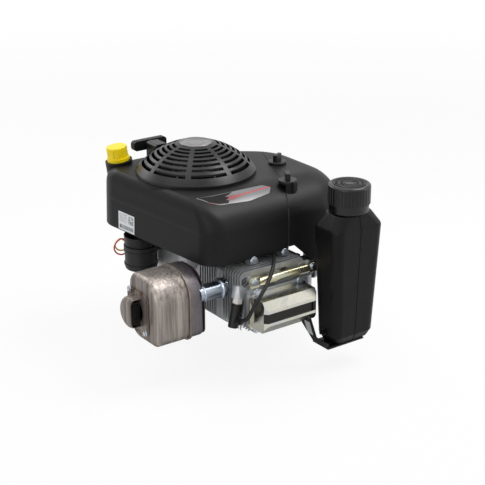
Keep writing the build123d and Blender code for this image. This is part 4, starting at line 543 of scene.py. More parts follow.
def muffler_back_steel():
    """The rear half sits nearer the port, so it is bluer and darker."""
    f = Finish("muffler_back_steel")
    streak = f.noise(220.0, 5.0, 0.65, at=f.placed(scale=(1, 1, 0.05)))
    broad = f.noise(30.0, 5.0, 0.6, distortion=0.7)
    low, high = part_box("muffler_rear_shell")
    x, _, _ = f.axes()
    lip, wander = 0.006, 0.01
    heat = f.step(x + wander * broad, low.x + lip, high.x)
    shade = f.blend(streak, srgb(150, 144, 140), srgb(82, 78, 78))
    shade = f.blend(heat * 0.5, shade, srgb(86, 84, 104))
    shade = f.blend(f.step(broad, 0.5, 0.75) * 0.5, shade, colours().muffler_stain)
    return f.done(shade, 0.34 + 0.18 * streak, f.relief(streak + broad, 0.00018), metallic=0.9)


def scorched_steel():
    """Baffle, plate and guard: steel that has been hot, matt brown and grey."""
    f = Finish("scorched_steel")
    scale = f.noise(130.0, 6.0, 0.7)
    broad = f.noise(28.0, 4.0)
    shade = f.blend(scale, srgb(138, 128, 120), srgb(72, 58, 50))
    shade = f.blend(broad * 0.4, shade, srgb(98, 70, 52))
    return f.done(shade, 0.44 + 0.2 * scale, f.relief(scale, 0.0002), metallic=0.75)


def sooted_mesh():
    """Spark screen, blackened, with a woven relief."""
    f = Finish("sooted_mesh")
    across, up = f.waves("Y", 160.0), f.waves("Z", 160.0)
    soot = f.noise(90.0, 5.0)
    shade = f.blend(soot, srgb(44, 38, 36), srgb(22, 20, 20))
    return f.done(shade, 0.5 + 0.2 * soot, f.relief(across * up, 0.0006), metallic=0.6)


def cover_steel():
    """Pressed valve cover: bright zinc over fine draw lines, with a dark bare band in the sunk panel."""
    f = Finish("cover_steel")
    low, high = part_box("valve_cover")
    _, y, z = f.axes()
    draw = f.noise(700.0, 3.0, at=f.placed(scale=(0.02, 1, 1)))
    broad = f.noise(22.0, 4.0, distortion=0.8)
    tint = f.ramp(broad, (0.35, tuple(colours().cover_steel)), (0.55, srgb(204, 202, 188)),
                  (0.72, srgb(176, 181, 186)))
    half, soft, deep = 0.0094, 0.0003, 0.0070
    middle = (low.z + high.z) / 2
    sunk = f.band(z, middle, half, soft) * f.step(y, low.y + deep + 0.0002, low.y + deep)
    shade = f.blend(sunk, tint, f.blend(draw, srgb(66, 64, 62), srgb(34, 34, 36)))
    rough = 0.13 + 0.08 * broad + 0.05 * draw + 0.16 * sunk
    return f.done(shade, rough, f.relief(draw * 0.3 + broad, 0.00022), metallic=1.0)


def cast_iron():
    """Flywheel: sand-cast skin with patches of light rust."""
    f = Finish("cast_iron")
    skin = f.noise(360.0, 5.0, 0.65)
    rust = f.step(f.noise(24.0, 6.0, 0.7), 0.56, 0.78)
    shade = f.blend(skin, srgb(122, 120, 118), srgb(66, 64, 64))
    shade = f.blend(rust * 0.45, shade, srgb(104, 66, 44))
    return f.done(shade, 0.44 + 0.18 * skin + 0.12 * rust, f.relief(skin, 0.0003), metallic=0.8)


def painted_black():
    """Stoved paint on sheet steel: low orange peel and bright chips."""
    f = Finish("painted_black")
    peel = f.noise(300.0, 3.0, 0.5)
    chips = f.step(f.noise(210.0, 6.0, 0.8), 0.74, 0.78)
    dust = f.noise(30.0, 5.0)
    shade = f.blend(dust * 0.4, colours().paint_black, srgb(52, 52, 53))
    shade = f.blend(chips * 0.5, shade, srgb(120, 118, 116))
    return f.done(shade, 0.34 + 0.16 * dust, f.relief(peel - chips * 0.4, 0.00012), gloss=0.35)


def brushed_disc():
    """Silver foil disc in the grille: spun lines and a soft dark patch, no mark."""
    f = Finish("brushed_disc")
    low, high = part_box("grille_badge")
    middle = (low + high) / 2
    radius = f.far((middle.x, middle.y, high.z))
    spun = f.noise(1500.0, 2.0, at=f.node("ShaderNodeCombineXYZ", None, {0: radius}))
    cloud = f.noise(46.0, 4.0, 0.6, distortion=0.5)
    shade = f.blend(spun * 0.5 + cloud * 0.5, srgb(168, 166, 166), srgb(104, 102, 104))
    return f.done(shade, 0.24 + 0.14 * cloud + 0.08 * spun, f.relief(spun, 0.00005), metallic=0.85)


def gasket_sheet():
    """Head gasket: pressed grey fibre."""
    f = Finish("gasket_sheet")
    fibre = f.noise(620.0, 5.0, 0.7, at=f.placed(scale=(1, 0.2, 1)))
    shade = f.blend(fibre, srgb(78, 82, 86), srgb(44, 44, 46))
    return f.done(shade, 0.6 + 0.2 * fibre, f.relief(fibre, 0.00012), metallic=0.25)


def filter_paper():
    """Filter element: resin paper with patches of dust."""
    f = Finish("filter_paper")
    fibre = f.noise(900.0, 5.0, 0.7, at=f.placed(scale=(1, 1, 0.2)))
    dust = f.step(f.noise(24.0, 4.0), 0.5, 0.8)
    shade = f.blend(fibre * 0.6, srgb(226, 208, 168), srgb(186, 160, 116))
    shade = f.blend(dust * 0.4, shade, srgb(140, 122, 98))
    return f.done(shade, 0.7 + 0.15 * fibre, f.relief(fibre, 0.0001), gloss=0.2)


def coil_laminate():
    """Ignition block: potted black case over laminated iron."""
    f = Finish("coil_laminate")
    layers = f.waves("Z", 420.0)
    grime = f.noise(70.0, 5.0)
    shade = f.blend(grime, srgb(58, 46, 38), srgb(26, 24, 24))
    return f.done(shade, 0.4 + 0.2 * grime, f.relief(layers + grime * 0.5, 0.00015), gloss=0.4)


def plug_ceramic():
    """Spark plug: white glazed nose, then the plated hexagon, told apart by how far along it is."""
    f = Finish("plug_ceramic")
    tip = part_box("spark_plug")[0].y
    nose, soft = 0.021, 0.0015
    _, y, _ = f.axes()
    plated = f.step(y, tip + nose, tip + nose + soft)
    glaze = f.noise(40.0, 3.0)
    white = f.blend(glaze * 0.3, srgb(236, 234, 228), srgb(206, 200, 190))
    metal = f.blend(glaze, srgb(196, 198, 204), srgb(120, 124, 132))
    shade = f.blend(plated, white, metal)
    return f.done(shade, 0.14 + 0.12 * glaze, f.relief(f.noise(800.0), 0.00004), metallic=plated)


# ---------------------------------------------------------------- finishes: panel and labels
def panel_film():
    """Silver panel with one thin stripe that glows off to the left; no lettering."""
    f = Finish("panel_film")
    x, y, _ = f.axes()
    # the panel's length lies turned a little from X, and the stripe lies at a shallow angle to it
    turn, pivot_y, stripe_x, stripe_y, slope = 0.05, -0.150, 0.020, -0.152, 0.055
    stripe_half, stripe_soft, glow_half, glow_soft = 0.0011, 0.0003, 0.006, 0.005
    # along the panel: where the stripe begins and is full, then where its glow is full and has gone
    stripe_from, stripe_full, glow_full, glow_gone = -0.034, -0.030, -0.030, 0.016
    frayed = 0.012
    along = x * 0.999 + (y - pivot_y) * turn
    torn = frayed * (f.noise(80.0, 5.0, 0.75) - 0.5)
    fade = 1 - f.step(along + torn * 2, glow_full, glow_gone)
    darker = f.noise(30.0, 3.0) * 0.35 + f.step(along, -0.02, 0.06) * 0.3
    grey = f.blend(darker, colours().panel_silver, srgb(92, 92, 94))
    line = y - stripe_y - (along - stripe_x) * slope
    stripe = f.band(line, 0.0, stripe_half, stripe_soft) * f.step(along, stripe_from, stripe_full)
    glow = f.band(line + torn, 0.0, glow_half, glow_soft) * fade
    shade = f.blend(glow * 0.7, grey, srgb(112, 44, 46))
    shade = f.blend(stripe, shade, colours().panel_red)
    fine = f.noise(1500.0, 2.0)
    return f.done(shade, 0.26 + 0.06 * fine, f.relief(fine, 0.00003), metallic=0.35, gloss=0.4, coat=0.2)


def wedge_film():
    """Gloss black printed wedge with a few pale flecks along its torn end."""
    f = Finish("wedge_film")
    x, _, _ = f.axes()
    torn_from, torn_to = -0.050, -0.036
    fleck = f.step(f.noise(230.0, 4.0, 0.8), 0.62, 0.68) * f.step(x, torn_from, torn_to)
    fine = f.noise(1500.0, 2.0)
    shade = f.blend(fleck * 0.7, srgb(7, 7, 8), srgb(150, 62, 62))
    return f.done(shade, 0.4 + 0.06 * fine, f.relief(fine, 0.00003), gloss=0.15)


def label_film():
    """White label with generic dark marks: a square of cells, a row of bars and some short lines."""
    f = Finish("label_film")
    left, low = LABEL[0]
    _, y, z = f.axes()

    def field(along, up, wide, tall):
        """1 inside a rectangle: its centre from the label's corner, then its half sizes."""
        edge = 0.0003
        return f.band(y, left + along, wide, edge) * f.band(z, low + up, tall, edge)

    cells = f.step(f.noise(620.0, 0.0), 0.49, 0.52)
    square = cells * field(0.0110, 0.0250, 0.0080, 0.0080)
    bars = f.step(f.noise(760.0, 0.0, at=f.placed(scale=(0, 1, 0))), 0.47, 0.50)
    row = bars * field(0.0255, 0.0075, 0.0220, 0.0040)
    broken = f.step(f.noise(240.0, 2.0, at=f.placed(scale=(0, 1, 6))), 0.42, 0.50)
    pitch = 0.0036
    rows = f.sine(z * (math.tau / pitch))
    lines = broken * f.step(rows, 0.1, 0.5) * field(0.0360, 0.0255, 0.0120, 0.0080)
    cloud = f.noise(60.0, 4.0, 0.6)
    fine = f.noise(1300.0, 3.0)
    shade = f.blend(cloud * 0.5, colours().label_white, srgb(206, 208, 210))
    shade = f.blend(square + row + lines * 0.7, shade, srgb(38, 38, 40))
    return f.done(shade, 0.42 + 0.1 * cloud, f.relief(fine * 0.4 + cloud, 0.00012), gloss=0.4)


def bracket_label_film():
    """Bare pale label, a little cloudy."""
    f = Finish("bracket_label_film")
    cloud = f.noise(80.0, 5.0, 0.7)
    shade = f.blend(cloud * 0.7, srgb(206, 208, 208), srgb(150, 152, 150))
    return f.done(shade, 0.4 + 0.12 * cloud, f.relief(cloud, 0.00012), gloss=0.4)


# ---------------------------------------------------------------- helpers for pieces
def finish_of(maker):
    """A finish, made once however many pieces wear it, and told by its maker from the solids' own colours."""
    for material in bpy.data.materials:
        if material.get("maker") == maker.__name__:
            return material
    material = maker()
    material["maker"] = maker.__name__
    return material


def dress(maker, *names):
    """Give these CAD nodes one finish."""
    for name in names:
        for place in frame["nodes"][name].material_slots:
            place.material = finish_of(maker)


def piece(bm, name, body, maker):
    """Turn a finished bmesh into a named piece that rides on a body."""
    mesh = bpy.data.meshes.new(name)
    bm.to_mesh(mesh)
    bm.free()
    if not mesh.polygons:
        raise RuntimeError(f"{name} has no faces")
    made = bpy.data.objects.new(name, mesh)
    bpy.context.scene.collection.objects.link(made)
    mesh.materials.append(finish_of(maker))
    mesh.shade_smooth()
    mesh.set_sharp_from_angle(angle=math.radians(CREASE))
    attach(made, body)
    return made


def standing(centre, axis):
    """The transform that puts a shape made about +Z at a place, looking along an axis."""
    return Matrix.Translation(centre) @ Vector(axis).to_track_quat("Z", "Y").to_matrix().to_4x4()


def cut_at(bm, place, normal, clear=False):
    """Cut the whole bmesh with a plane, and clear what lies beyond it if asked."""
    everything = bm.verts[:] + bm.edges[:] + bm.faces[:]
    bmesh.ops.bisect_plane(bm, geom=everything, plane_co=place, plane_no=normal, clear_outer=clear)


def joined(verts):
    """These vertices and all that edges join to them."""
    edge, reach = set(verts), set()
    while edge:
        reach |= edge
        edge = {other for v in edge for e in v.link_edges for other in e.verts} - reach
    return reach


def turned(bm, profile, place, steps, sweep=math.tau):
    """Spin a closed loop of (radius, height) points into a ring, or part of one, at a place."""
    verts = [bm.verts.new((r, 0, h)) for r, h in profile]
    edges = [bm.edges.new(pair) for pair in zip(verts, verts[1:] + verts[:1])]
    spun = bmesh.ops.spin(bm, geom=verts + edges, cent=(0, 0, 0), axis=(0, 0, 1), dvec=(0, 0, 0),
                          angle=sweep, steps=steps, use_merge=sweep == math.tau, use_duplicate=False)
    last = [item for item in spun["geom_last"] if isinstance(item, bmesh.types.BMVert)]
    mine = joined(v for v in verts + last if v.is_valid)
    bmesh.ops.transform(bm, matrix=place, verts=list(mine))


def closed_up(bm):
    """Merge doubles and turn every face outwards."""
    bmesh.ops.remove_doubles(bm, verts=bm.verts, dist=1e-6)
    bmesh.ops.recalc_face_normals(bm, faces=bm.faces)
    return bm


def laid_film(outline, aim, node, spacing, corner, over=0.0):
    """Cut a film to an outline, lay it along aim onto a CAD node and thicken it; over lifts it off that."""
    target, thick = frame["nodes"][node], trim().film
    stand_off = thick * 0.4 + over
    bpy.context.view_layer.update()
    bm = bmesh.new()
    bm.faces.new([bm.verts.new(p) for p in outline])
    if corner:
        bmesh.ops.bevel(bm, geom=bm.verts[:], affect="VERTICES", offset=corner, segments=5, profile=0.5,
                        material=-1)
    aim = Vector(aim)
    for i in [i for i in range(3) if abs(aim[i]) < 0.5]:
        low, high = min(p[i] for p in outline), max(p[i] for p in outline)
        normal = Vector([float(i == k) for k in range(3)])
        for n in range(1, int((high - low) / spacing)):
            at = Vector(outline[0])
            at[i] = low + n * spacing
            cut_at(bm, at, normal)
    bmesh.ops.triangulate(bm, faces=bm.faces)
    for v in bm.verts:
        hit, where, normal, _ = target.ray_cast(v.co, aim)
        if not hit:
            raise RuntimeError(f"film misses {node} at {tuple(v.co)}")
        v.co = where + normal * stand_off
    bmesh.ops.recalc_face_normals(bm, faces=bm.faces)
    if sum(f.normal.dot(aim) * f.calc_area() for f in bm.faces) > 0:
        bmesh.ops.reverse_faces(bm, faces=bm.faces)
    bmesh.ops.solidify(bm, geom=bm.faces[:], thickness=-thick)
    return bm


# ---------------------------------------------------------------- the steps
class Step:
    """What every step of the dresser shares."""

    bl_options = {"REGISTER", "UNDO"}


class ENGINE_OT_mouldings(Step, bpy.types.Operator):
    """Black mouldings: blower housing, intake cover, filter base and their knobs"""

    bl_idname = "engine.mouldings"
    bl_label = "Mouldings"

    def execute(self, context):
        dress(housing_plastic, "blower_housing", "air_cleaner_cover", "air_filter_base")
        dress(knob_plastic, "cover_knob_front", "cover_knob_rear")
        return {"FINISHED"}


class ENGINE_OT_grille(Step, bpy.types.Operator):
    """Recoil housing with its grille dome, the silver disc and the rolled ring round it"""

    bl_idname = "engine.grille"
    bl_label = "Grille dome"

    def execute(self, context):
        dress(grille_plastic, "recoil_housing")
        dress(brushed_disc, "grille_badge")
        self.badge_rings()
        self.inlet()
        return {"FINISHED"}

    def badge_rings(self):
        """The disc's rolled edge, and a finer ring inside it."""
        low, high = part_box("grille_badge")
        middle, r, up = (low + high) / 2, (high.x - low.x) / 2, trim().ring_height
        edge, line, sunk, outer_round, inner_round = 0.0022, 0.0008, 0.0002, 0.0004, 0.0003
        bm = bmesh.new()
        for outer, wide, rise in ((r, edge, up), (r * 0.60, line, up * 0.35)):
            inner, side = outer - wide, rise * 0.6
            ring = [(inner, -sunk), (outer, -sunk), (outer, side), (outer - outer_round, rise),
                    (inner + inner_round, rise), (inner, side)]
            turned(bm, ring, standing((middle.x, middle.y, high.z), (0, 0, 1)), 64)
        piece(closed_up(bm), "badge_rings", "engine", brushed_disc)

    def inlet(self):
        """Inlet ring hanging from the housing's air hole down to the fan, so that all air goes through it."""
        wall, lift, clear, drop = 0.0015, 0.0015, 0.0030, 0.0035
        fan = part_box("cooling_fan")[1]
        foot, top = fan.z + lift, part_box("recoil_housing")[0].z - drop
        inner, wide = fan.x + clear, trim().inlet_radius
        shape = [(inner, foot), (inner + wall, foot), (wide + wall, top), (wide, top)]
        bm = bmesh.new()
        turned(bm, shape, Matrix.Identity(4), 72)
        piece(closed_up(bm), "inlet_ring", "engine", inner_plastic)


class ENGINE_OT_tank(Step, bpy.types.Operator):
    """Fuel tank with its moulding seam, the ribbed cap with raised bars, and the tank bracket"""

    bl_idname = "engine.tank"
    bl_label = "Fuel tank"

    def execute(self, context):
        dress(tank_plastic, "fuel_tank")
        dress(cap_plastic, "fuel_cap")
        dress(painted_black, "tank_bracket")
        self.seam()
        self.ripples()
        return {"FINISHED"}

    def seam(self):
        """Moulding seam: a narrow strip of the tank's own skin, below the cap, stood proud of it."""
        tank_low, tank_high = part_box("fuel_tank")
        cap_low, cap_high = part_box("fuel_cap")
        x, y = (cap_low.x + cap_high.x) / 2, (cap_low.y + cap_high.y) / 2
        middle = Vector((x, y, (tank_low.z + tank_high.z) / 2))
        half, height, below_cap = trim().seam_width / 2, trim().seam_height, 0.001
        bm = bmesh.new()
        bm.from_mesh(frame["nodes"]["fuel_tank"].data)
        bmesh.ops.remove_doubles(bm, verts=bm.verts, dist=1e-5)
        cut_at(bm, (x - half, 0, 0), (-1, 0, 0), clear=True)
        cut_at(bm, (x + half, 0, 0), (1, 0, 0), clear=True)
        cut_at(bm, (0, 0, cap_low.z - below_cap), (0, 0, 1), clear=True)
        bm.normal_update()
        inner = [f for f in bm.faces if f.normal.dot(f.calc_center_median() - middle) < 0]
        bmesh.ops.delete(bm, geom=inner, context="FACES")
        for v in bm.verts:
            v.co += v.normal * height
        bmesh.ops.solidify(bm, geom=bm.faces[:], thickness=height * 1.4)
        piece(bm, "tank_seam", "engine", tank_plastic)

    def ripples(self):
        """Two rows of slanting bars on the cap's top, between three raised lips."""
        low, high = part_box("fuel_cap")
        middle, up = (low + high) / 2, trim().ripple
        top = Matrix.Translation((middle.x, middle.y, high.z + up * 0.3))
        long, slant, bar_round = 0.0052, 0.35, 0.0005
        bm = bmesh.new()
        # each row: its radius, how many bars, and their width
        for row, (radius, count, wide) in enumerate(((0.0245, 26, 0.0022), (0.0150, 16, 0.0020))):
            lean = Matrix.Rotation(slant * (-1) ** row, 4, "Z")
            size = Matrix.Diagonal((long, wide, up, 1.0))
            for n in range(count):
                made = bmesh.ops.create_cube(bm, size=1.0)["verts"]
                spot = Matrix.Rotation(math.tau * n / count, 4, "Z") @ Matrix.Translation((radius, 0, 0))
                bmesh.ops.transform(bm, matrix=top @ spot @ lean @ size, verts=made)
        edges = [e for e in bm.edges if all(f.normal.z > -0.5 for f in e.link_faces)]
        bmesh.ops.bevel(bm, geom=edges, affect="EDGES", offset=bar_round, segments=2, profile=0.5,
                        material=-1)
        foot, crown, sunk = 0.0008, 0.0006, 0.0003
        for radius in (0.0105, 0.0195, 0.0292):
            lip = [(radius - foot, -sunk), (radius + foot, -sunk), (radius + crown, up * 0.7),
                   (radius - crown, up * 0.7)]
            turned(bm, lip, standing((middle.x, middle.y, high.z), (0, 0, 1)), 56)
        bmesh.ops.recalc_face_normals(bm, faces=bm.faces)
        piece(bm, "fuel_cap_ripples", "fuel_filler_cap", cap_plastic)


class ENGINE_OT_oil_filler(Step, bpy.types.Operator):
    """Oil filler tube and its bright cap"""

    bl_idname = "engine.oil_filler"
    bl_label = "Oil filler"

    def execute(self, context):
        dress(knob_plastic, "oil_fill_tube")
        dress(filler_yellow, "oil_cap")
        return {"FINISHED"}


class ENGINE_OT_muffler(Step, bpy.types.Operator):
    """Muffler shells, plate, deflector and spark screen"""

    bl_idname = "engine.muffler"
    bl_label = "Muffler"

    def execute(self, context):
        dress(muffler_steel, "muffler_front_shell", "muffler_deflector")
        dress(muffler_back_steel, "muffler_rear_shell")
        dress(scorched_steel, "muffler_plate")
        dress(sooted_mesh, "muffler_screen")
        dress(pipe_zinc, "exhaust_pipe")
        self.beads()
        return {"FINISHED"}

    def beads(self):
        """Rolled beads round the pipe, one near the port and one at the shell."""
        low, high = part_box("exhaust_pipe")
        span, root = high.x - low.x, PIPE_R - 0.0004
        bm = bmesh.new()
        # each bead: how far along the pipe, its half width, and how far it stands proud
        for share, wide, proud in ((0.84, 0.0040, 0.0042), (0.16, 0.0020, 0.0022)):
            shoulder, crown, flat = PIPE_R + proud * 0.5, PIPE_R + proud, wide * 0.45
            bead = [(root, -wide), (shoulder, -wide), (crown, -flat), (crown, 0.0), (crown, flat),
                    (shoulder, wide), (root, wide)]
            place = (low.x + share * span, PIPE_Y, PIPE_Z)
            turned(bm, bead, standing(place, (1, 0, 0)), 48)
        piece(closed_up(bm), "pipe_beads", "engine", pipe_zinc)


class ENGINE_OT_castings(Step, bpy.types.Operator):
    """Crankcase, cylinder head, sump and gasket"""

    bl_idname = "engine.castings"
    bl_label = "Castings"

    def execute(self, context):
        dress(cast_aluminium, "crankcase", "cylinder_head", "sump_cover")
        dress(gasket_sheet, "head_gasket")
        dress(seal_rubber, "oil_seals")
        return {"FINISHED"}


class ENGINE_OT_valve_cover(Step, bpy.types.Operator):
    """Bright pressed valve cover with its dark bare band"""

    bl_idname = "engine.valve_cover"
    bl_label = "Valve cover"

    def execute(self, context):
        dress(cover_steel, "valve_cover")
        return {"FINISHED"}


class ENGINE_OT_ignition(Step, bpy.types.Operator):
    """Coil, lead, boot and spark plug"""

    bl_idname = "engine.ignition"
    bl_label = "Ignition"

    def execute(self, context):
        dress(coil_laminate, "ignition_coil")
        dress(lead_rubber, "ignition_lead")
        dress(boot_rubber, "plug_boot")
        dress(plug_ceramic, "spark_plug")
        return {"FINISHED"}


class ENGINE_OT_starter(Step, bpy.types.Operator):
    """Electric starter, its pinion and the two feed wires"""

    bl_idname = "engine.starter"
    bl_label = "Electric starter"

    def execute(self, context):
        dress(painted_black, "starter_motor")
        dress(bright_steel, "starter_pinion")
        dress(red_cover, "wire_red")
        dress(yellow_cover, "wire_yellow")
        self.guard()
        return {"FINISHED"}

    def guard(self):
        """Moulded guard round the drive end: a part ring between the can and the housing skirt."""
        low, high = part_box("starter_pinion")
        middle, r = (low + high) / 2, trim().guard_radius
        half, lip, below, into_skirt = 0.0012, 0.0008, 0.006, 0.004
        start, sweep = math.radians(62), math.radians(236)
        foot, top = low.z - below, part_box("blower_housing")[0].z + into_skirt
        wall = [(r - 2 * half, foot), (r - lip, foot - half), (r, foot), (r + half, top), (r - half, top)]
        place = Matrix.Translation((middle.x, middle.y, 0)) @ Matrix.Rotation(start, 4, "Z")
        bm = bmesh.new()
        turned(bm, wall, place, 44, sweep)
        bmesh.ops.holes_fill(bm, edges=[e for e in bm.edges if e.is_boundary], sides=8)
        piece(closed_up(bm), "starter_guard", "engine", knob_plastic)


class ENGINE_OT_fasteners(Step, bpy.types.Operator):
    """Zinc screws and the yellow-zinc rail brackets"""

    bl_idname = "engine.fasteners"
    bl_label = "Fasteners"

    def execute(self, context):
        dress(clear_zinc, "hex_screws", "head_bolts", "sump_bolts")
        dress(yellow_zinc, "control_bracket")
        self.flanges()
        return {"FINISHED"}

    def flanges(self):
        """A pressed flange under every hexagon head, found from the screws themselves."""
        screws, out = bmesh.new(), bmesh.new()
        screws.from_mesh(frame["nodes"]["hex_screws"].data)
        bmesh.ops.remove_doubles(screws, verts=screws.verts, dist=1e-5)
        thick, chamfer = trim().washer, 0.0004
        left = set(screws.verts)
        while left:
            screw = joined({next(iter(left))})
            left -= screw
            seat, outwards, head = self.seat_of([v.co.copy() for v in screw])
            inner, rim = head * 0.5, head * 1.34
            flange = [(inner, 0.0), (rim, 0.0), (rim, thick * 0.5), (rim - chamfer, thick), (inner, thick)]
            turned(out, flange, standing(seat, outwards), 28)
        screws.free()
        piece(closed_up(out), "screw_flanges", "engine", clear_zinc)

    def seat_of(self, spots):
        """Where one screw's head sits, which way it looks, and the head's radius over its corners."""
        low = Vector([min(p[i] for p in spots) for i in range(3)])
        high = Vector([max(p[i] for p in spots) for i in range(3)])
        size, middle = high - low, (low + high) / 2
        along = max(range(3), key=lambda i: size[i])
        axis = Vector([float(i == along) for i in range(3)])
        reach = [((p - middle) - axis * (p - middle).dot(axis)).length for p in spots]
        widest = max(reach)
        head = [p[along] for p, r in zip(spots, reach) if r > 0.9 * widest]
        looks_up = max(head) > high[along] - 0.3 * size[along]
        seat = middle.copy()
        seat[along] = min(head) if looks_up else max(head)
        return seat, axis if looks_up else -axis, widest


class ENGINE_OT_running_gear(Step, bpy.types.Operator):
    """Crank train, camshaft, flywheel and fan"""

    bl_idname = "engine.running_gear"
    bl_label = "Running gear"

    def execute(self, context):
        dress(bright_steel, "crankshaft", "crankpin", "piston_pin", "piston_rings", "crank_gear", "camshaft",
              "flywheel_nut", "pulley_screw")
        dress(machined_aluminium, "piston", "connecting_rod", "rod_cap")
        dress(cast_iron, "flywheel")
        dress(inner_plastic, "cooling_fan")
        dress(clear_zinc, "starter_cup")
        return {"FINISHED"}


class ENGINE_OT_recoil(Step, bpy.types.Operator):
    """Recoil starter: spool, rope, spring and pull grip"""

    bl_idname = "engine.recoil"
    bl_label = "Recoil starter"

    def execute(self, context):
        dress(inner_plastic, "rope_pulley")
        dress(spring_steel, "recoil_spring")
        dress(grip_plastic, "starter_grip")
        dress(rope_cord, "starter_rope")
        return {"FINISHED"}


class ENGINE_OT_intake(Step, bpy.types.Operator):
    """Carburettor, throttle and governor levers, and the filter element"""

    bl_idname = "engine.intake"
    bl_label = "Intake"

    def execute(self, context):
        dress(cast_aluminium, "carburetor")
        dress(filter_paper, "air_filter_element")
        dress(clear_zinc, "throttle_lever", "governor_lever")
        return {"FINISHED"}


class ENGINE_OT_panel(Step, bpy.types.Operator):
    """Trim panel on the front shoulder of the housing, with a black wedge over its left end"""

    bl_idname = "engine.front_panel"
    bl_label = "Front panel"

    def execute(self, context):
        outline = [(-0.0910, -0.1328), (-0.0757, -0.1568), (-0.0583, -0.1655), (0.0051, -0.1707),
                   (0.0548, -0.1651), (0.0677, -0.1515), (0.0548, -0.1398), (-0.0046, -0.1387),
                   (-0.0579, -0.1373)]
        wedge = [(-0.0868, -0.1342), (-0.0742, -0.1538), (-0.0583, -0.1625), (-0.0400, -0.1655),
                 (-0.0345, -0.1600), (-0.0400, -0.1575), (-0.0290, -0.1520), (-0.0370, -0.1490),
                 (-0.0230, -0.1440), (-0.0140, -0.1398), (-0.0578, -0.1391)]
        corner = 0.003
        piece(self.film(outline, corner, 0.0), "front_panel", "engine", panel_film)
        piece(self.film(wedge, 0.0, trim().film * 1.1), "panel_wedge", "engine", wedge_film)
        return {"FINISHED"}

    def film(self, outline, corner, over):
        """A film dropped onto the housing's shoulder from above."""
        above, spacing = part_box("blower_housing")[1].z + AWAY, 0.005
        points = [(x, y, above) for x, y in outline]
        return laid_film(points, (0, 0, -1), "blower_housing", spacing, corner, over)


class ENGINE_OT_labels(Step, bpy.types.Operator):
    """Label with dark marks on the housing's left face, and the bare one on the tank bracket"""

    bl_idname = "engine.labels"
    bl_label = "Labels"

    def execute(self, context):
        (near, low), (far, high) = LABEL
        corners, corner = [(near, low), (far, low), (far, high), (near, high)], 0.0012
        piece(self.film("blower_housing", corners, corner), "side_label", "engine", label_film)
        corners, corner = [(-0.232, 0.006), (-0.249, 0.006), (-0.261, -0.017), (-0.245, -0.017)], 0.0010
        piece(self.film("tank_bracket", corners, corner), "bracket_label", "engine",
              bracket_label_film)
        return {"FINISHED"}

    def film(self, node, corners, corner):
        """A film pressed onto a node's left side."""
        left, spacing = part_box(node)[0].x - AWAY, 0.008
        return laid_film([(left, y, z) for y, z in corners], (1, 0, 0), node, spacing, corner)


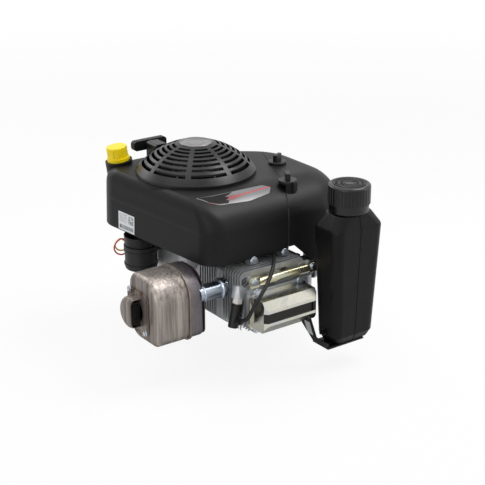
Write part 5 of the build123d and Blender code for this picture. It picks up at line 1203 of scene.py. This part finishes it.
class ENGINE_OT_studio(Step, bpy.types.Operator):
    """Pale floor, white surroundings, soft lamps and the camera"""

    bl_idname = "engine.studio"
    bl_label = "Studio"

    def execute(self, context):
        self.floor()
        self.world()
        # each lamp: where it hangs, its width and height in metres, and its power in watts
        self.lamp("key", (0.80, -0.45, 1.65), 1.0, 0.75, 17.0)
        self.lamp("overhead", (-0.3, 0.3, 1.9), 1.6, 1.2, 9.0)
        self.lamp("front_left", (-1.9, -1.0, 0.9), 0.7, 1.3, 7.0)
        self.lamp("right", (1.6, -1.3, 0.7), 0.5, 1.3, 5.0)
        self.lamp("back", (-0.5, 1.9, 1.3), 1.2, 0.7, 8.0)
        self.camera()
        return {"FINISHED"}

    def floor(self):
        """Round sheet of pale paper that fades to plain white well away from the engine."""
        low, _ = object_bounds()
        radius, below = 7.0, 0.0003
        bm = bmesh.new()
        bmesh.ops.create_circle(bm, cap_ends=True, radius=radius, segments=96)
        bmesh.ops.transform(bm, matrix=Matrix.Translation((0, 0, low.z - below)), verts=bm.verts)
        mesh = bpy.data.meshes.new("floor")
        bm.to_mesh(mesh)
        bm.free()
        floor = bpy.data.objects.new("floor", mesh)
        bpy.context.scene.collection.objects.link(floor)
        f = Finish("floor_paper")
        shade = f.blend(f.noise(2.0), srgb(244, 244, 244), srgb(240, 240, 241))
        matt = f.node("ShaderNodeBsdfDiffuse", None, {0: shade})
        clean = f.node("ShaderNodeEmission", None, {0: (1, 1, 1), 1: 1.0})
        seen = f.outputs(f.node("ShaderNodeLightPath"), "Is Camera Ray")[0]
        near, far, clean_near = 1.0, 3.5, 0.88
        fading = f.step(f.far((0, 0, low.z)), near, far)
        share = seen * (clean_near + (1 - clean_near) * fading)
        mixed = f.node("ShaderNodeMixShader", None, {0: share, 1: matt, 2: clean})
        f.node("ShaderNodeOutputMaterial", None, {0: mixed})
        mesh.materials.append(f.material)
        floor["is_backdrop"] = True

    def world(self):
        """White where the camera, metal and glass look at it, and dimmer as a light."""
        world = bpy.data.worlds.new("studio")
        bpy.context.scene.world = world
        world.use_nodes = True
        g = Graph(world.node_tree)
        dim = 0.42
        path = g.node("ShaderNodeLightPath")
        camera, glossy, through = g.outputs(path, "Is Camera Ray", "Is Glossy Ray", "Is Transmission Ray")
        clamped = {"operation": "ADD", "use_clamp": True}
        shown = g.node("ShaderNodeMath", clamped, {0: camera + glossy, 1: through})
        white = g.node("ShaderNodeBackground", None, {0: (1, 1, 1), 1: shown + (1 - shown) * dim})
        g.node("ShaderNodeOutputWorld", None, {0: white})

    def lamp(self, name, place, wide, tall, power):
        """A soft rectangular lamp that looks at the engine."""
        aim = Vector((0.01, -0.06, 0.10))
        data = bpy.data.lights.new(name, "AREA")
        data.shape, data.size, data.size_y, data.energy = "RECTANGLE", wide, tall, power
        lamp = bpy.data.objects.new(name, data)
        lamp.location = place
        lamp.rotation_euler = (Vector(place) - aim).to_track_quat("Z", "Y").to_euler()
        bpy.context.scene.collection.objects.link(lamp)

    def camera(self):
        """The studio's camera: its place, and the direction from what it looks at back to it."""
        place, back = (-1.29225, -1.93287, 1.01792), Vector((-0.54763, -0.75375, 0.36325))
        data = bpy.data.cameras.new("studio_camera")
        data.lens, data.sensor_width = 92.78, 36.0
        camera = bpy.data.objects.new("studio_camera", data)
        camera.location = place
        camera.rotation_euler = back.to_track_quat("Z", "Y").to_euler()
        bpy.context.scene.collection.objects.link(camera)
        bpy.context.scene.camera = camera


STEPS = (
    ENGINE_OT_mouldings, ENGINE_OT_grille, ENGINE_OT_tank, ENGINE_OT_oil_filler, ENGINE_OT_muffler,
    ENGINE_OT_castings, ENGINE_OT_valve_cover, ENGINE_OT_ignition, ENGINE_OT_starter, ENGINE_OT_fasteners,
    ENGINE_OT_running_gear, ENGINE_OT_recoil, ENGINE_OT_intake, ENGINE_OT_panel, ENGINE_OT_labels,
    ENGINE_OT_studio,
)


class ENGINE_PT_dresser(bpy.types.Panel):
    """Sizes, colours and steps of the dresser"""

    bl_idname = "ENGINE_PT_dresser"
    bl_label = "Engine dresser"
    bl_space_type = "VIEW_3D"
    bl_region_type = "UI"
    bl_category = "Engine"

    def draw(self, context):
        for group in (context.scene.engine_trim, context.scene.engine_colours):
            box = self.layout.box()
            for name in group.__annotations__:
                box.prop(group, name)
        for step in STEPS:
            self.layout.operator(step.bl_idname)


CLASSES = (EngineColours, EngineTrim, *STEPS, ENGINE_PT_dresser)


def register():
    for cls in CLASSES:
        bpy.utils.register_class(cls)
    bpy.types.Scene.engine_colours = PointerProperty(type=EngineColours)
    bpy.types.Scene.engine_trim = PointerProperty(type=EngineTrim)


def unregister():
    del bpy.types.Scene.engine_trim
    del bpy.types.Scene.engine_colours
    for cls in reversed(CLASSES):
        bpy.utils.unregister_class(cls)


def main():
    """Dress the engine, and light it."""
    register()
    bpy.context.scene.view_settings.view_transform = "Standard"
    for step in STEPS:
        group, name = step.bl_idname.split(".")
        getattr(getattr(bpy.ops, group), name)()


if __name__ == "__main__":
    main()
